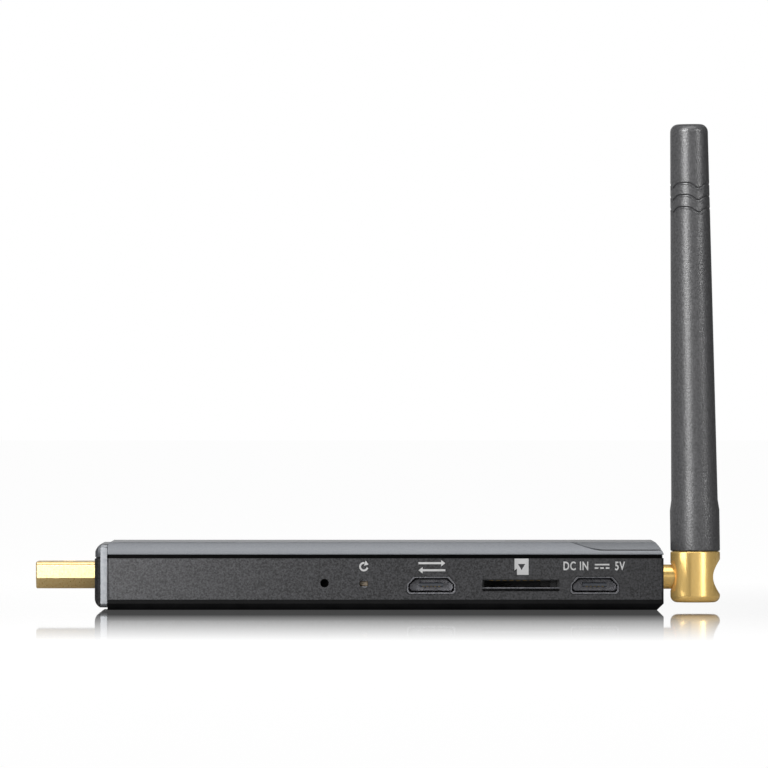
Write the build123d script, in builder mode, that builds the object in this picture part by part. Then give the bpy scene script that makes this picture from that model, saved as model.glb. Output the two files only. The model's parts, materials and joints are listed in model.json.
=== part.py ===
from build123d import *
import math
import os

# A streaming media player in stick form: a flat casing with an HDMI plug at one end, a swivelling
# antenna at the other, and its sockets along one long side.
# Millimetres. +X runs from the HDMI plug to the antenna, +Z is up, and the sockets face -Y.
# The origin is the middle of the casing's underside.

os.makedirs("parts", exist_ok=True)

# ---------------------------------------------------------------- driving dimensions

FIT_GAP = 0.05  # room between a piece and the seat it drops into

# casing
CASE_LEFT = -44.6  # where the long body meets the silver trim ring
CASE_RIGHT = 46.6  # the antenna end
CASE_WIDTH = 34.0
CASE_HEIGHT = 11.1
CASE_CORNER = 0.4  # upright corners
WALL = 1.5
FLOOR = 1.2
CEILING = 9.9  # underside of the top cover's plate
FRAME_BOTTOM = 1.7  # side frame, lower edge
FRAME_TOP = 8.45  # side frame, upper edge
LIP_BOTTOM = 9.05  # the top cover's edge; the dark gap lies between it and the frame
BOTTOM_BEVEL = 1.05
TOP_INSET = 1.35  # how far the top cover's sloping edge comes in
SLOPE_START = 9.2  # height where that slope leaves the upright lip
SLOPE_BULGE = 0.12  # how far the slope swells past a straight bevel
LEFT_BEVEL = 0.4  # small bevel where the cover meets the trim ring
SILL_INSET = 0.2  # floor of the gap
SILL_TOP = 9.0
TONGUE_INSET = 0.7  # the frame's tongue, which stands inside the cover's edge
TONGUE_TOP = 9.45
RIM_TOP = 2.2  # the bottom cover's rim inside the frame
RIM_THICKNESS = 0.8

# nose and trim ring at the HDMI end
TRIM_LEFT = -45.77
NOSE_LEFT = -46.7
NOSE_SET_BACK = 0.1  # the upper nose sits this much behind the lower one
NOSE_INSET = 0.4  # nose and ring stand this much inside the body, below and at the sides
NOSE_TOP = 10.75
NOSE_SPLIT_LOW = 8.37
NOSE_SPLIT_HIGH = 8.69
NOSE_ROUND = 0.9
NOSE_HEAD_ROUND = 2.1  # height over which the nose rounds off above
NOSE_FOOT_ROUND = 1.5
NOSE_TONGUE = 0.7  # how far the tongue in the nose's gap reaches out from the ring
NOSE_TONGUE_INSET = 0.35
NOSE_HEAD_BULGE = 0.3
NOSE_FOOT_BULGE = 0.25
RING_WALL = 1.2
RING_ROUND = 0.65

# antenna-side window in the top cover
WINDOW_MIDDLE_X = 37.5  # centre of the window's round end
WINDOW_EDGE_Z = 9.88
WINDOW_HALF = 16.65
WINDOW_SKIN = 0.6
WINDOW_GAP = 0.12

# circuit board, screws
BOARD_LEFT = -38.6
BOARD_RIGHT = 43.9
BOARD_HALF_WIDTH = 14.9
BOARD_BOTTOM = 5.25
BOARD_TOP = 6.05
SCREW_X = (-40.2, 42.2)
SCREW_Y = 12.8
SCREW_RADIUS = 0.75
SCREW_HOLE_RADIUS = 0.8
SCREW_HEAD_RADIUS = 1.45
SCREW_HEAD_HEIGHT = 0.9
SCREW_CROSS = (1.7, 0.4)
SCREW_CROSS_DEPTH = 0.55
SCREW_RECESS = 1.6
SCREW_RECESS_RADIUS = 1.6
SCREW_TIP = 8.2
POST_RADIUS = 2.2
BOSS_RADIUS = 1.9
BOARD_HOLE_RADIUS = 1.0
BOARD_EAR = 4.0
CABLE_NOTCH_X = 40.2
CABLE_NOTCH_HALF = 4.0
MIC_NOTCH_WIDTH = 4.6
MIC_NOTCH_DEPTH = 2.2
VENT_MIDDLE_X = 16.0
VENT_PITCH = 2.6
VENT_COUNT = 8
VENT_LENGTH = 12.0
VENT_WIDTH = 1.2

# parts on the board
PROCESSOR_PLACE = (-11, 2)
PROCESSOR_SIZE = (15, 15)
PROCESSOR_HEIGHT = 1.2
MEMORY_PLACES = [(x, y) for x in (5.5, 18.5) for y in (-3, 7)]
MEMORY_SIZE = (11, 8)
MEMORY_HEIGHT = 1.0
FLASH_PLACES = [(30, 8.5)]
FLASH_SIZE = (10, 10)
FLASH_HEIGHT = 1.0
POWER_CHIP_PLACES = [(-26, -6)]
POWER_CHIP_SIZE = (6, 6)
POWER_CHIP_HEIGHT = 0.9
INDUCTOR_PLACES = [(-30, -12), (-25, -12), (-20, -12), (-31, -3)]
INDUCTOR_SIZE = (3, 3)
INDUCTOR_HEIGHT = 1.2
CRYSTAL_PLACES = [(-22, 10), (23.5, -11)]
CRYSTAL_SIZE = (3.2, 2.5)
CRYSTAL_HEIGHT = 0.8
CAPACITOR_PLACES = [(x, y) for x in (-34, -32, -30, -28) for y in (4, 6, 8, 10)]
CAPACITOR_SIZE = (1.0, 0.5)
CAPACITOR_HEIGHT = 0.5
CHIP_CORNER = 0.2
PAD_SIZE = (14, 14)
SPREADER_X = 1.0
SPREADER_SIZE = (52, 26)
SPREADER_THICKNESS = 1.0
SPREADER_CORNER = 1.5
RADIO_X = 33.0
RADIO_Y = -7.0
RADIO_HALF = 6.0
RADIO_BASE = 0.6
SHIELD_HALF = 5.6
SHIELD_HEIGHT = 1.3
SHIELD_SHEET = 0.2

# HDMI plug
HDMI_WIDTH = 13.9
HDMI_HEIGHT = 4.45
HDMI_MIDDLE_Z = 5.58
HDMI_TIP = -56.6
HDMI_BACK = -40.2
HDMI_SHOULDER = 5.1  # height where the lower corners start to slant
HDMI_SLANT = 1.75
HDMI_SHEET = 0.35
HDMI_ROUND = 0.3
HDMI_TOP_ROUND = 0.7
HDMI_PITCH = 1.0
HDMI_MOUTH = 0.9  # how far the insulator sits behind the plug's tip
HDMI_FLOOR = 6.0  # solid length at the insulator's back
HDMI_SLOT_WIDTH = 11.4
HDMI_CONTACT = 0.2
HDMI_CONTACT_WIDTH = 0.4
HDMI_CONTACT_SET_BACK = 0.6
HDMI_TAIL = 1.6
HDMI_LATCH_X = 5.2
HDMI_LATCH_SPACING = 6.6
HDMI_LATCH = (2.4, 1.9)

# sockets along the long side
SHELL_FRONT = -16.75  # the metal mouths stand just inside the wall's face
USB_Z = 4.05
USB_DATA_X = 8.5
USB_POWER_X = 35.3
USB_WIDTH = 7.5
USB_HEIGHT = 2.4
USB_SLANT = 1.05  # how far the upper corners come in
USB_SLANT_START = 0.1  # where they start, above the socket's middle
USB_FOOT_CORNER = 0.35
USB_ROUND = 0.2
USB_SHEET = 0.25
USB_DEPTH = 5.6
USB_LIP = 0.5  # depth of the flared mouth
USB_TONGUE_WIDTH = 3.9
USB_TONGUE_HEIGHT = 0.65
USB_TONGUE_DROP = 0.25
USB_TONGUE_SET_BACK = 0.9
USB_PITCH = 0.65
USB_CONTACT_WIDTH = 0.35
USB_CONTACT = 0.15
USB_CONTACT_COUNT = 5
USB_CONTACT_SET_BACK = 0.2  # behind the tongue's tip
USB_TONGUE_TIP = 0.15
CARD_X = 23.2
CARD_SLOT_Z = 4.03
CARD_SLOT = (12.65, 1.93)
CARD_SOCKET_WIDTH = 14.0
CARD_SOCKET_FRONT = -15.45
CARD_SOCKET_DEPTH = 14.2
CARD_SHEET = 0.2
CARD_SHEET_Z = 3.5
CARD_BASE_Z = 4.75
CARD_RAIL = 0.8
CARD_SLOT_ROUND = 0.2
CARD_CONTACT_X = 22.2
CARD_CONTACT_COUNT = 8
CARD_CONTACT_PITCH = 1.1
CARD_CONTACT_WIDTH = 0.7
CARD_CONTACT = 0.15
CARD_CONTACT_SET_BACK = 0.4
CARD_CONTACT_LENGTH = 13.2
SLIDER_WIDTH = 1.1
SLIDER_LENGTH = 6.0
SLIDER_FRONT = -12.2
SLIDER_NOSE = 2.6
SLIDER_NOSE_DEPTH = 1.2
SPRING_END_GAP = 0.02
SPRING_RADIUS = 0.3
SPRING_WIRE = 0.06
SPRING_TURNS = 8
RESET_BODY = (3.5, 1.9)  # width and depth
RESET_DROP = 0.9  # how far the switch reaches under its plunger's axis
RESET_FRONT = -14.75
RESET_SHEET = 0.25
RESET_TIP = -15.35
RESET_STEM = (1.3, 0.75)
RESET_FLANGE = (1.9, 1.2)
RESET_FLANGE_THICKNESS = 0.35
RESET_FLANGE_GAP = 0.02
RESET_TIP_ROUND = 0.1
MIC_RADIUS = 1.5
MIC_DEPTH = 1.2
MIC_GAP = 0.02
MIC_PORT_RADIUS = 0.4
MIC_PORT_DEPTH = 0.3
BOOT_RADIUS = 1.95
BOOT_DEPTH = 1.7
RESET_X = -2.56
RESET_Z = 4.3
RESET_HOLE = 0.75
MIC_X = -9.0
MIC_Z = 4.4
MIC_HOLE = 0.7

# antenna
PIVOT_Z = 5.2
KNUCKLE_X = 52.2
KNUCKLE_RADIUS = 4.1
KNUCKLE_BOTTOM = 0.97
KNUCKLE_TOP = 9.4
KNUCKLE_BEVEL = 1.1
KNUCKLE_TOP_BEVEL = 0.15
EYE_RADIUS = 2.9  # recess in the knuckle's outer side
PIN_HOLE_RADIUS = 2.3  # hole in its inner side
WEB_LEFT = 50.9
WEB_RIGHT = 53.5
PIN_RADIUS = 2.025
BUSH_RADIUS = 2.5
BUSH_FLANGE_RADIUS = 2.9
BUSH_FLANGE = 1.0
PIN_HEAD = 0.7
PIN_BORE = 0.75
SPIGOT_RIGHT = 54.4
WINDOW_DROP = 0.7  # the pin's cable window is open above this depth under its axis
WINDOW_SPAN = (51.4, 53.0)
WINDOW_REACH = 3.0
RETAINER = (53.85, 54.35)
RETAINER_RADIUS = 2.4
WASHER = (53.55, 53.8)
PLUG_SPAN = (54.55, 55.0)
PLUG_RADIUS = 2.8
LEAD_START = (38.4, 2.0, 6.85)
LEAD_DIP_X = 42.3
LEAD_END_X = 51.5
LEAD_BEND = 1.6
SPIGOT_RADIUS = 1.5
PIVOT_CLEARANCE = 0.05
PRESS_GAP = 0.02
CONNECTOR_SIZE = 2.6
CONNECTOR_BASE = 0.3
CONNECTOR_RADIUS = 1.28
CONNECTOR_HEIGHT = 1.1
LEAD_RUN = 2.2
CABLE_RADIUS = 0.565
SLEEVE_BOTTOM = 9.5
COLLAR_LENGTH = 6.7
SLEEVE_CLEAR = 2.2  # inside radius of the sleeve
SLEEVE_CLEAR_TOP = 64.2  # along the whip, as are the heights below
NECK_RADIUS = 2.5
NECK_TOP = 14.0
NECK_END_GAP = 0.2
CABLE_CHANNEL = 1.2
TAIL_RADIUS = 0.6
TAIL_BOTTOM = 5.0
TAIL_GAP = 0.1
RADIATOR_START = 8.2
RADIATOR_LENGTH = 24.0
RADIATOR_RADIUS = 1.5
RADIATOR_WALL = 0.25
ROD_RADIUS = 0.4
ROD_TOP = 61.7
WHIP_LEAN = 0.85  # degrees towards the casing
WHIP_TOP = 70.5
WHIP_TOP_RADIUS = 3.125
WHIP_FOOT_RADIUS = 3.85
WHIP_FOOT = 8.4
WHIP_OVERLAP = 1.0  # drawn below the sleeve's end and then cut off level
WHIP_TOP_ROUND = 1.3
GROOVE_HEIGHTS = (56.4, 58.4, 60.4)  # the three grip grooves
GROOVE_RADIUS = 0.28

CASE_LENGTH = CASE_RIGHT - CASE_LEFT
CASE_MIDDLE_X = (CASE_RIGHT + CASE_LEFT) / 2
HALF_WIDTH = CASE_WIDTH / 2
NOSE_WIDTH = CASE_WIDTH - 2 * NOSE_INSET
HDMI_UPPER_ROW = BOARD_TOP + HDMI_CONTACT / 2
HDMI_LOWER_ROW = BOARD_BOTTOM - HDMI_CONTACT / 2
HDMI_ROWS = ((HDMI_UPPER_ROW, 10), (HDMI_LOWER_ROW, 9))
SCREW_PLACES = [(x, y) for x in SCREW_X for y in (-SCREW_Y, SCREW_Y)]


# ---------------------------------------------------------------- helpers


def save(piece, name):
    """Label a finished piece and write its file."""
    piece.part.label = name
    export_step(piece.part, f"parts/{name}.step")


def front_plane(y):
    """A sketch plane at depth y, drawn on as seen from the socket side."""
    return Plane.XZ.offset(-y)


def block(x, y, z, mode=Mode.ADD):
    """A box from (low, high) pairs along X, Y and Z, in the part being built."""
    with Locations(((x[0] + x[1]) / 2, (y[0] + y[1]) / 2, (z[0] + z[1]) / 2)):
        Box(x[1] - x[0], y[1] - y[0], z[1] - z[0], mode=mode)


def case_plan(inset):
    """The casing's plan taken in by inset on every side, in the sketch being built."""
    with Locations((CASE_MIDDLE_X, 0)):
        Rectangle(CASE_LENGTH - 2 * inset, CASE_WIDTH - 2 * inset)


def cover_form(inset):
    """The top cover's outside as a full solid, taken in by inset."""
    half = HALF_WIDTH - inset
    left = CASE_LEFT + inset
    right = CASE_RIGHT - inset
    top = CASE_HEIGHT - inset
    slope = SLOPE_START - inset * 0.4
    base = LIP_BOTTOM - inset
    with BuildPart() as form:
        with BuildSketch(Plane.YZ.offset(CASE_LEFT)):
            with BuildLine():
                Polyline((-half, slope), (-half, base), (half, base), (half, slope))
                SagittaArc((half, slope), (half - TOP_INSET, top), -SLOPE_BULGE)
                Line((half - TOP_INSET, top), (-half + TOP_INSET, top))
                SagittaArc((-half + TOP_INSET, top), (-half, slope), -SLOPE_BULGE)
            make_face()
        extrude(amount=CASE_LENGTH)
        with BuildSketch(Plane.XZ):
            with BuildLine():
                Polyline((left, top - LEFT_BEVEL), (left, base), (right, base), (right, slope))
                SagittaArc((right, slope), (right - TOP_INSET, top), -SLOPE_BULGE)
                Line((right - TOP_INSET, top), (left + LEFT_BEVEL, top))
                Line((left + LEFT_BEVEL, top), (left, top - LEFT_BEVEL))
            make_face()
        extrude(amount=HALF_WIDTH, both=True, mode=Mode.INTERSECT)
    return form.part


def window_plan(grow):
    """Plan of the antenna-side window: square at the casing's end, round towards the middle."""
    with BuildSketch() as plan:
        with Locations((WINDOW_MIDDLE_X, 0)):
            Circle(WINDOW_HALF + grow)
        with Locations((WINDOW_MIDDLE_X + WINDOW_HALF, 0)):
            Rectangle(2 * WINDOW_HALF, 2 * (WINDOW_HALF + grow))
    return plan.sketch


def hdmi_section(grow):
    """HDMI plug section in Y and Z: wide side up, the two lower corners slanted."""
    half = HDMI_WIDTH / 2 + grow
    top = HDMI_MIDDLE_Z + HDMI_HEIGHT / 2 + grow
    low = HDMI_MIDDLE_Z - HDMI_HEIGHT / 2 - grow
    slant_shift = grow * math.tan(math.radians(22.5))
    shoulder = HDMI_SHOULDER - slant_shift
    foot = HDMI_WIDTH / 2 - HDMI_SLANT + slant_shift
    with BuildSketch() as section:
        Polygon(
            (-half, top),
            (-half, shoulder),
            (-foot, low),
            (foot, low),
            (half, shoulder),
            (half, top),
            align=None,
        )
        fillet(section.vertices().group_by(Axis.Y)[-1], HDMI_TOP_ROUND + grow)
        fillet(section.vertices().group_by(Axis.Y)[0], HDMI_ROUND)
    return section.sketch


def usb_section(grow):
    """Micro-USB mouth in X and Z: narrow side up, long slants above and short ones below."""
    half = USB_WIDTH / 2 + grow
    tall = USB_HEIGHT / 2 + grow
    with BuildSketch() as section:
        Polygon(
            (-half + USB_FOOT_CORNER, -tall),
            (half - USB_FOOT_CORNER, -tall),
            (half, -tall + USB_FOOT_CORNER),
            (half, USB_SLANT_START),
            (half - USB_SLANT, tall),
            (-half + USB_SLANT, tall),
            (-half, USB_SLANT_START),
            (-half, -tall + USB_FOOT_CORNER),
            align=None,
        )
        fillet(section.vertices(), USB_ROUND)
    return section.sketch


# ---------------------------------------------------------------- casing

with BuildPart() as bottom_cover:
    with BuildSketch(Plane.YZ.offset(CASE_LEFT)):
        Polygon(
            (-HALF_WIDTH, FRAME_BOTTOM),
            (-HALF_WIDTH, BOTTOM_BEVEL),
            (-HALF_WIDTH + BOTTOM_BEVEL, 0),
            (HALF_WIDTH - BOTTOM_BEVEL, 0),
            (HALF_WIDTH, BOTTOM_BEVEL),
            (HALF_WIDTH, FRAME_BOTTOM),
            align=None,
        )
    extrude(amount=CASE_LENGTH)
    with BuildSketch(Plane.XZ):
        Polygon(
            (CASE_LEFT, FRAME_BOTTOM),
            (CASE_LEFT, 0),
            (CASE_RIGHT - BOTTOM_BEVEL, 0),
            (CASE_RIGHT, BOTTOM_BEVEL),
            (CASE_RIGHT, FRAME_BOTTOM),
            align=None,
        )
    extrude(amount=HALF_WIDTH, both=True, mode=Mode.INTERSECT)
    # rim that stands inside the frame
    with BuildSketch(Plane.XY.offset(FRAME_BOTTOM)):
        case_plan(WALL + FIT_GAP)
    extrude(amount=RIM_TOP - FRAME_BOTTOM)
    with BuildSketch(Plane.XY.offset(FLOOR)):
        case_plan(WALL + FIT_GAP + RIM_THICKNESS)
    extrude(amount=RIM_TOP - FLOOR, mode=Mode.SUBTRACT)
    # posts that carry the board, bored for the screws from below
    with BuildSketch(Plane.XY.offset(FLOOR)):
        with Locations(*SCREW_PLACES):
            Circle(POST_RADIUS)
    extrude(amount=BOARD_BOTTOM - FLOOR)
    with BuildSketch(Plane.XY):
        with Locations(*SCREW_PLACES):
            Circle(SCREW_HOLE_RADIUS)
    extrude(amount=BOARD_BOTTOM, mode=Mode.SUBTRACT)
    with BuildSketch(Plane.XY):
        with Locations(*SCREW_PLACES):
            Circle(SCREW_RECESS_RADIUS)
    extrude(amount=SCREW_RECESS, mode=Mode.SUBTRACT)
    # air slots on both sides of a plain middle band
    with BuildSketch(Plane.XY):
        for side in (-1, 1):
            with Locations((side * VENT_MIDDLE_X, 0)):
                with GridLocations(VENT_PITCH, 0, VENT_COUNT, 1):
                    SlotOverall(VENT_LENGTH, VENT_WIDTH, rotation=90)
    extrude(amount=FLOOR, mode=Mode.SUBTRACT)
save(bottom_cover, "bottom_cover")

with BuildPart() as side_frame:
    with BuildSketch(Plane.XY.offset(FRAME_BOTTOM)):
        case_plan(0)
    extrude(amount=FRAME_TOP - FRAME_BOTTOM)
    fillet(side_frame.edges().filter_by(Axis.Z), CASE_CORNER)
    with BuildSketch(Plane.XY.offset(FRAME_TOP)):
        case_plan(SILL_INSET)
    extrude(amount=SILL_TOP - FRAME_TOP)
    with BuildSketch(Plane.XY.offset(FRAME_TOP)):
        case_plan(TONGUE_INSET)
    extrude(amount=TONGUE_TOP - FRAME_TOP)
    with BuildSketch(Plane.XY.offset(FRAME_BOTTOM)):
        case_plan(WALL)
    extrude(amount=TONGUE_TOP - FRAME_BOTTOM, mode=Mode.SUBTRACT)
    # openings for the sockets, the card, the reset pin and the microphone
    with BuildSketch(front_plane(-HALF_WIDTH)):
        with Locations((USB_DATA_X, USB_Z), (USB_POWER_X, USB_Z)):
            add(usb_section(USB_LIP / 2 + FIT_GAP))
        with Locations((CARD_X, CARD_SLOT_Z)):
            RectangleRounded(*CARD_SLOT, CARD_SLOT_ROUND)
        with Locations((RESET_X, RESET_Z)):
            Circle(RESET_HOLE)
        with Locations((MIC_X, MIC_Z)):
            Circle(MIC_HOLE)
    extrude(amount=-WALL, mode=Mode.SUBTRACT)
    # opening for the HDMI plug, and the bush's hole at the other end
    with BuildSketch(Plane.YZ.offset(CASE_LEFT)):
        add(hdmi_section(FIT_GAP))
    extrude(amount=WALL, mode=Mode.SUBTRACT)
    with BuildSketch(Plane.YZ.offset(CASE_RIGHT - WALL)):
        with Locations((0, PIVOT_Z)):
            Circle(BUSH_RADIUS)
    extrude(amount=WALL, mode=Mode.SUBTRACT)
save(side_frame, "side_frame")

# the step in the top cover that the window drops into
with BuildPart() as window_seat:
    with BuildSketch(Plane.XY.offset(WINDOW_EDGE_Z - WINDOW_GAP)):
        add(window_plan(WINDOW_GAP))
    extrude(amount=CASE_HEIGHT)
    add(cover_form(WINDOW_SKIN + FIT_GAP), mode=Mode.SUBTRACT)

with BuildPart() as top_cover:
    add(cover_form(0))
    add(window_seat.part, mode=Mode.SUBTRACT)
    with BuildSketch(Plane.XY.offset(LIP_BOTTOM)):
        case_plan(TONGUE_INSET - FIT_GAP)
    extrude(amount=TONGUE_TOP + FIT_GAP - LIP_BOTTOM, mode=Mode.SUBTRACT)
    with BuildSketch(Plane.XY.offset(LIP_BOTTOM)):
        case_plan(WALL)
    extrude(amount=CEILING - LIP_BOTTOM, mode=Mode.SUBTRACT)
    with BuildSketch(Plane.XY.offset(BOARD_TOP)):
        with Locations(*SCREW_PLACES):
            Circle(BOSS_RADIUS)
            Circle(SCREW_HOLE_RADIUS, mode=Mode.SUBTRACT)
    extrude(amount=CEILING - BOARD_TOP)
save(top_cover, "top_cover")

with BuildPart() as antenna_window:
    add(cover_form(0))
    with BuildSketch(Plane.XY.offset(WINDOW_EDGE_Z)):
        add(window_plan(0))
    extrude(amount=CASE_HEIGHT, mode=Mode.INTERSECT)
    add(cover_form(WINDOW_SKIN), mode=Mode.SUBTRACT)
save(antenna_window, "antenna_window")

with BuildPart() as case_screws:
    for x, y in SCREW_PLACES:
        with BuildSketch(Plane.XY.offset(SCREW_RECESS - SCREW_HEAD_HEIGHT)):
            with Locations((x, y)):
                Circle(SCREW_HEAD_RADIUS)
        extrude(amount=SCREW_HEAD_HEIGHT)
        with BuildSketch(Plane.XY.offset(SCREW_RECESS)):
            with Locations((x, y)):
                Circle(SCREW_RADIUS)
        extrude(amount=SCREW_TIP - SCREW_RECESS)
        # cross recess in the head
        with BuildSketch(Plane.XY.offset(SCREW_RECESS - SCREW_HEAD_HEIGHT)):
            with Locations((x, y)):
                Rectangle(*SCREW_CROSS)
                Rectangle(*reversed(SCREW_CROSS))
        extrude(amount=SCREW_CROSS_DEPTH, mode=Mode.SUBTRACT)
save(case_screws, "case_screws")


# ---------------------------------------------------------------- nose and trim ring


def nose_section(inset):
    """Upright section of the nose and ring in Y and Z, taken in by inset."""
    with BuildSketch() as section:
        with Locations((0, (NOSE_INSET + NOSE_TOP) / 2)):
            RectangleRounded(NOSE_WIDTH - 2 * inset, NOSE_TOP - NOSE_INSET - 2 * inset, RING_ROUND)
    return section.sketch


def nose_form():
    """The whole nose in front of the ring, rounded over towards its end face."""
    foot = NOSE_INSET + NOSE_FOOT_ROUND
    head = NOSE_TOP - NOSE_HEAD_ROUND
    with BuildPart() as form:
        with BuildSketch(Plane.YZ.offset(NOSE_LEFT)):
            add(nose_section(0))
        extrude(amount=TRIM_LEFT - NOSE_LEFT)
        with BuildSketch(Plane.XZ):
            with BuildLine():
                Line((TRIM_LEFT, NOSE_TOP), (TRIM_LEFT, NOSE_INSET))
                SagittaArc((TRIM_LEFT, NOSE_INSET), (NOSE_LEFT, foot), NOSE_FOOT_BULGE)
                Line((NOSE_LEFT, foot), (NOSE_LEFT, head))
                SagittaArc((NOSE_LEFT, head), (TRIM_LEFT, NOSE_TOP), NOSE_HEAD_BULGE)
            make_face()
        extrude(amount=HALF_WIDTH, both=True, mode=Mode.INTERSECT)
        with BuildSketch(Plane.XY):
            with Locations(((NOSE_LEFT + TRIM_LEFT) / 2 + NOSE_ROUND, 0)):
                RectangleRounded(TRIM_LEFT - NOSE_LEFT + 2 * NOSE_ROUND, NOSE_WIDTH, NOSE_ROUND)
        extrude(amount=CASE_HEIGHT, mode=Mode.INTERSECT)
    return form.part


with BuildPart() as trim_ring:
    with BuildSketch(Plane.YZ.offset(TRIM_LEFT)):
        add(nose_section(0))
        add(nose_section(RING_WALL), mode=Mode.SUBTRACT)
    extrude(amount=CASE_LEFT - TRIM_LEFT)
save(trim_ring, "trim_ring")

with BuildPart() as nose_lower:
    add(nose_form())
    block((NOSE_LEFT, TRIM_LEFT), (-HALF_WIDTH, HALF_WIDTH), (NOSE_SPLIT_LOW, CASE_HEIGHT), Mode.SUBTRACT)
    # plug that fills the ring, and the tongue that closes the gap under the upper nose
    with BuildSketch(Plane.YZ.offset(TRIM_LEFT)):
        add(nose_section(RING_WALL + FIT_GAP))
    extrude(amount=CASE_LEFT - TRIM_LEFT)
    tongue_half = NOSE_WIDTH / 2 - NOSE_TONGUE_INSET
    block(
        (TRIM_LEFT - NOSE_TONGUE, TRIM_LEFT),
        (-tongue_half, tongue_half),
        (NOSE_SPLIT_LOW, NOSE_SPLIT_HIGH),
    )
    with BuildSketch(Plane.YZ.offset(NOSE_LEFT)):
        add(hdmi_section(FIT_GAP))
    extrude(amount=CASE_LEFT - NOSE_LEFT, mode=Mode.SUBTRACT)
save(nose_lower, "nose_lower")

with BuildPart() as nose_upper:
    add(nose_form())
    block((NOSE_LEFT, TRIM_LEFT), (-HALF_WIDTH, HALF_WIDTH), (0, NOSE_SPLIT_HIGH), Mode.SUBTRACT)
    block((NOSE_LEFT, NOSE_LEFT + NOSE_SET_BACK), (-HALF_WIDTH, HALF_WIDTH), (0, CASE_HEIGHT), Mode.SUBTRACT)
save(nose_upper, "nose_upper")


# ---------------------------------------------------------------- HDMI plug

with BuildPart() as hdmi_shell:
    with BuildSketch(Plane.YZ.offset(HDMI_TIP)):
        add(hdmi_section(0))
    extrude(amount=HDMI_BACK - HDMI_TIP)
    mouth = hdmi_shell.faces().sort_by(Axis.X)[0]
    chamfer(mouth.edges(), HDMI_SHEET / 2)
    with BuildSketch(Plane.YZ.offset(HDMI_TIP)):
        add(hdmi_section(-HDMI_SHEET))
    extrude(amount=HDMI_BACK - HDMI_TIP, mode=Mode.SUBTRACT)
    # the latch holes that a television's socket springs grip, in the top and the bottom
    with BuildSketch(Plane.XY):
        with Locations((HDMI_TIP + HDMI_LATCH_X, 0)):
            with GridLocations(0, HDMI_LATCH_SPACING, 1, 2):
                RectangleRounded(*HDMI_LATCH, 0.2)
    extrude(amount=CASE_HEIGHT, mode=Mode.SUBTRACT)
save(hdmi_shell, "hdmi_shell")

with BuildPart() as hdmi_insulator:
    with BuildSketch(Plane.YZ.offset(HDMI_TIP + HDMI_MOUTH)):
        add(hdmi_section(-HDMI_SHEET - FIT_GAP))
    extrude(amount=BOARD_LEFT - HDMI_TIP - HDMI_MOUTH)
    # slot that takes the television's tongue
    block(
        (HDMI_TIP + HDMI_MOUTH, HDMI_BACK - HDMI_FLOOR),
        (-HDMI_SLOT_WIDTH / 2, HDMI_SLOT_WIDTH / 2),
        (HDMI_LOWER_ROW - HDMI_CONTACT, HDMI_UPPER_ROW + HDMI_CONTACT),
        Mode.SUBTRACT,
    )
    # grooves that hold the contacts over the rest of the length
    for row_z, count in HDMI_ROWS:
        with BuildSketch(Plane.YZ.offset(HDMI_BACK - HDMI_FLOOR)):
            with Locations((0, row_z)):
                with GridLocations(HDMI_PITCH, 0, count, 1):
                    Rectangle(HDMI_CONTACT_WIDTH, HDMI_CONTACT)
        extrude(amount=BOARD_LEFT - HDMI_BACK + HDMI_FLOOR, mode=Mode.SUBTRACT)
save(hdmi_insulator, "hdmi_insulator")

with BuildPart() as hdmi_contacts:
    for row_z, count in HDMI_ROWS:
        with BuildSketch(Plane.YZ.offset(HDMI_TIP + HDMI_MOUTH + HDMI_CONTACT_SET_BACK)):
            with Locations((0, row_z)):
                with GridLocations(HDMI_PITCH, 0, count, 1):
                    Rectangle(HDMI_CONTACT_WIDTH, HDMI_CONTACT)
        extrude(amount=BOARD_LEFT + HDMI_TAIL - HDMI_TIP - HDMI_MOUTH - HDMI_CONTACT_SET_BACK)
save(hdmi_contacts, "hdmi_contacts")


# ---------------------------------------------------------------- circuit board and what is on it

with BuildPart() as circuit_board:
    with BuildSketch(Plane.XY.offset(BOARD_BOTTOM)):
        with Locations(((BOARD_LEFT + BOARD_RIGHT) / 2, 0)):
            Rectangle(BOARD_RIGHT - BOARD_LEFT, 2 * BOARD_HALF_WIDTH)
        # tabs past the HDMI plug that reach the two left screws
        for side in (-1, 1):
            with Locations((BOARD_LEFT - BOARD_EAR / 2, side * SCREW_Y)):
                Rectangle(BOARD_EAR, 2 * (BOARD_HALF_WIDTH - SCREW_Y))
        with Locations(*SCREW_PLACES):
            Circle(BOARD_HOLE_RADIUS, mode=Mode.SUBTRACT)
        # room for the antenna cable and for the microphone
        with Locations((BOARD_RIGHT, 0)):
            Rectangle(2 * (BOARD_RIGHT - CABLE_NOTCH_X), 2 * CABLE_NOTCH_HALF, mode=Mode.SUBTRACT)
        with Locations((MIC_X, -BOARD_HALF_WIDTH)):
            Rectangle(MIC_NOTCH_WIDTH, 2 * MIC_NOTCH_DEPTH, mode=Mode.SUBTRACT)
    extrude(amount=BOARD_TOP - BOARD_BOTTOM)
save(circuit_board, "circuit_board")


def chips(name, places, size, height, corner=CHIP_CORNER):
    """Chip bodies of one kind standing on the board's upper side."""
    with BuildPart() as group:
        with BuildSketch(Plane.XY.offset(BOARD_TOP)):
            with Locations(*places):
                RectangleRounded(*size, corner)
        extrude(amount=height)
    save(group, name)


chips("processor", [PROCESSOR_PLACE], PROCESSOR_SIZE, PROCESSOR_HEIGHT)
chips("memory_chips", MEMORY_PLACES, MEMORY_SIZE, MEMORY_HEIGHT)
chips("flash_chip", FLASH_PLACES, FLASH_SIZE, FLASH_HEIGHT)
chips("power_chip", POWER_CHIP_PLACES, POWER_CHIP_SIZE, POWER_CHIP_HEIGHT)
chips("power_inductors", INDUCTOR_PLACES, INDUCTOR_SIZE, INDUCTOR_HEIGHT, 0.5)
chips("clock_crystals", CRYSTAL_PLACES, CRYSTAL_SIZE, CRYSTAL_HEIGHT)
chips("capacitors", CAPACITOR_PLACES, CAPACITOR_SIZE, CAPACITOR_HEIGHT, 0.05)


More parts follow.
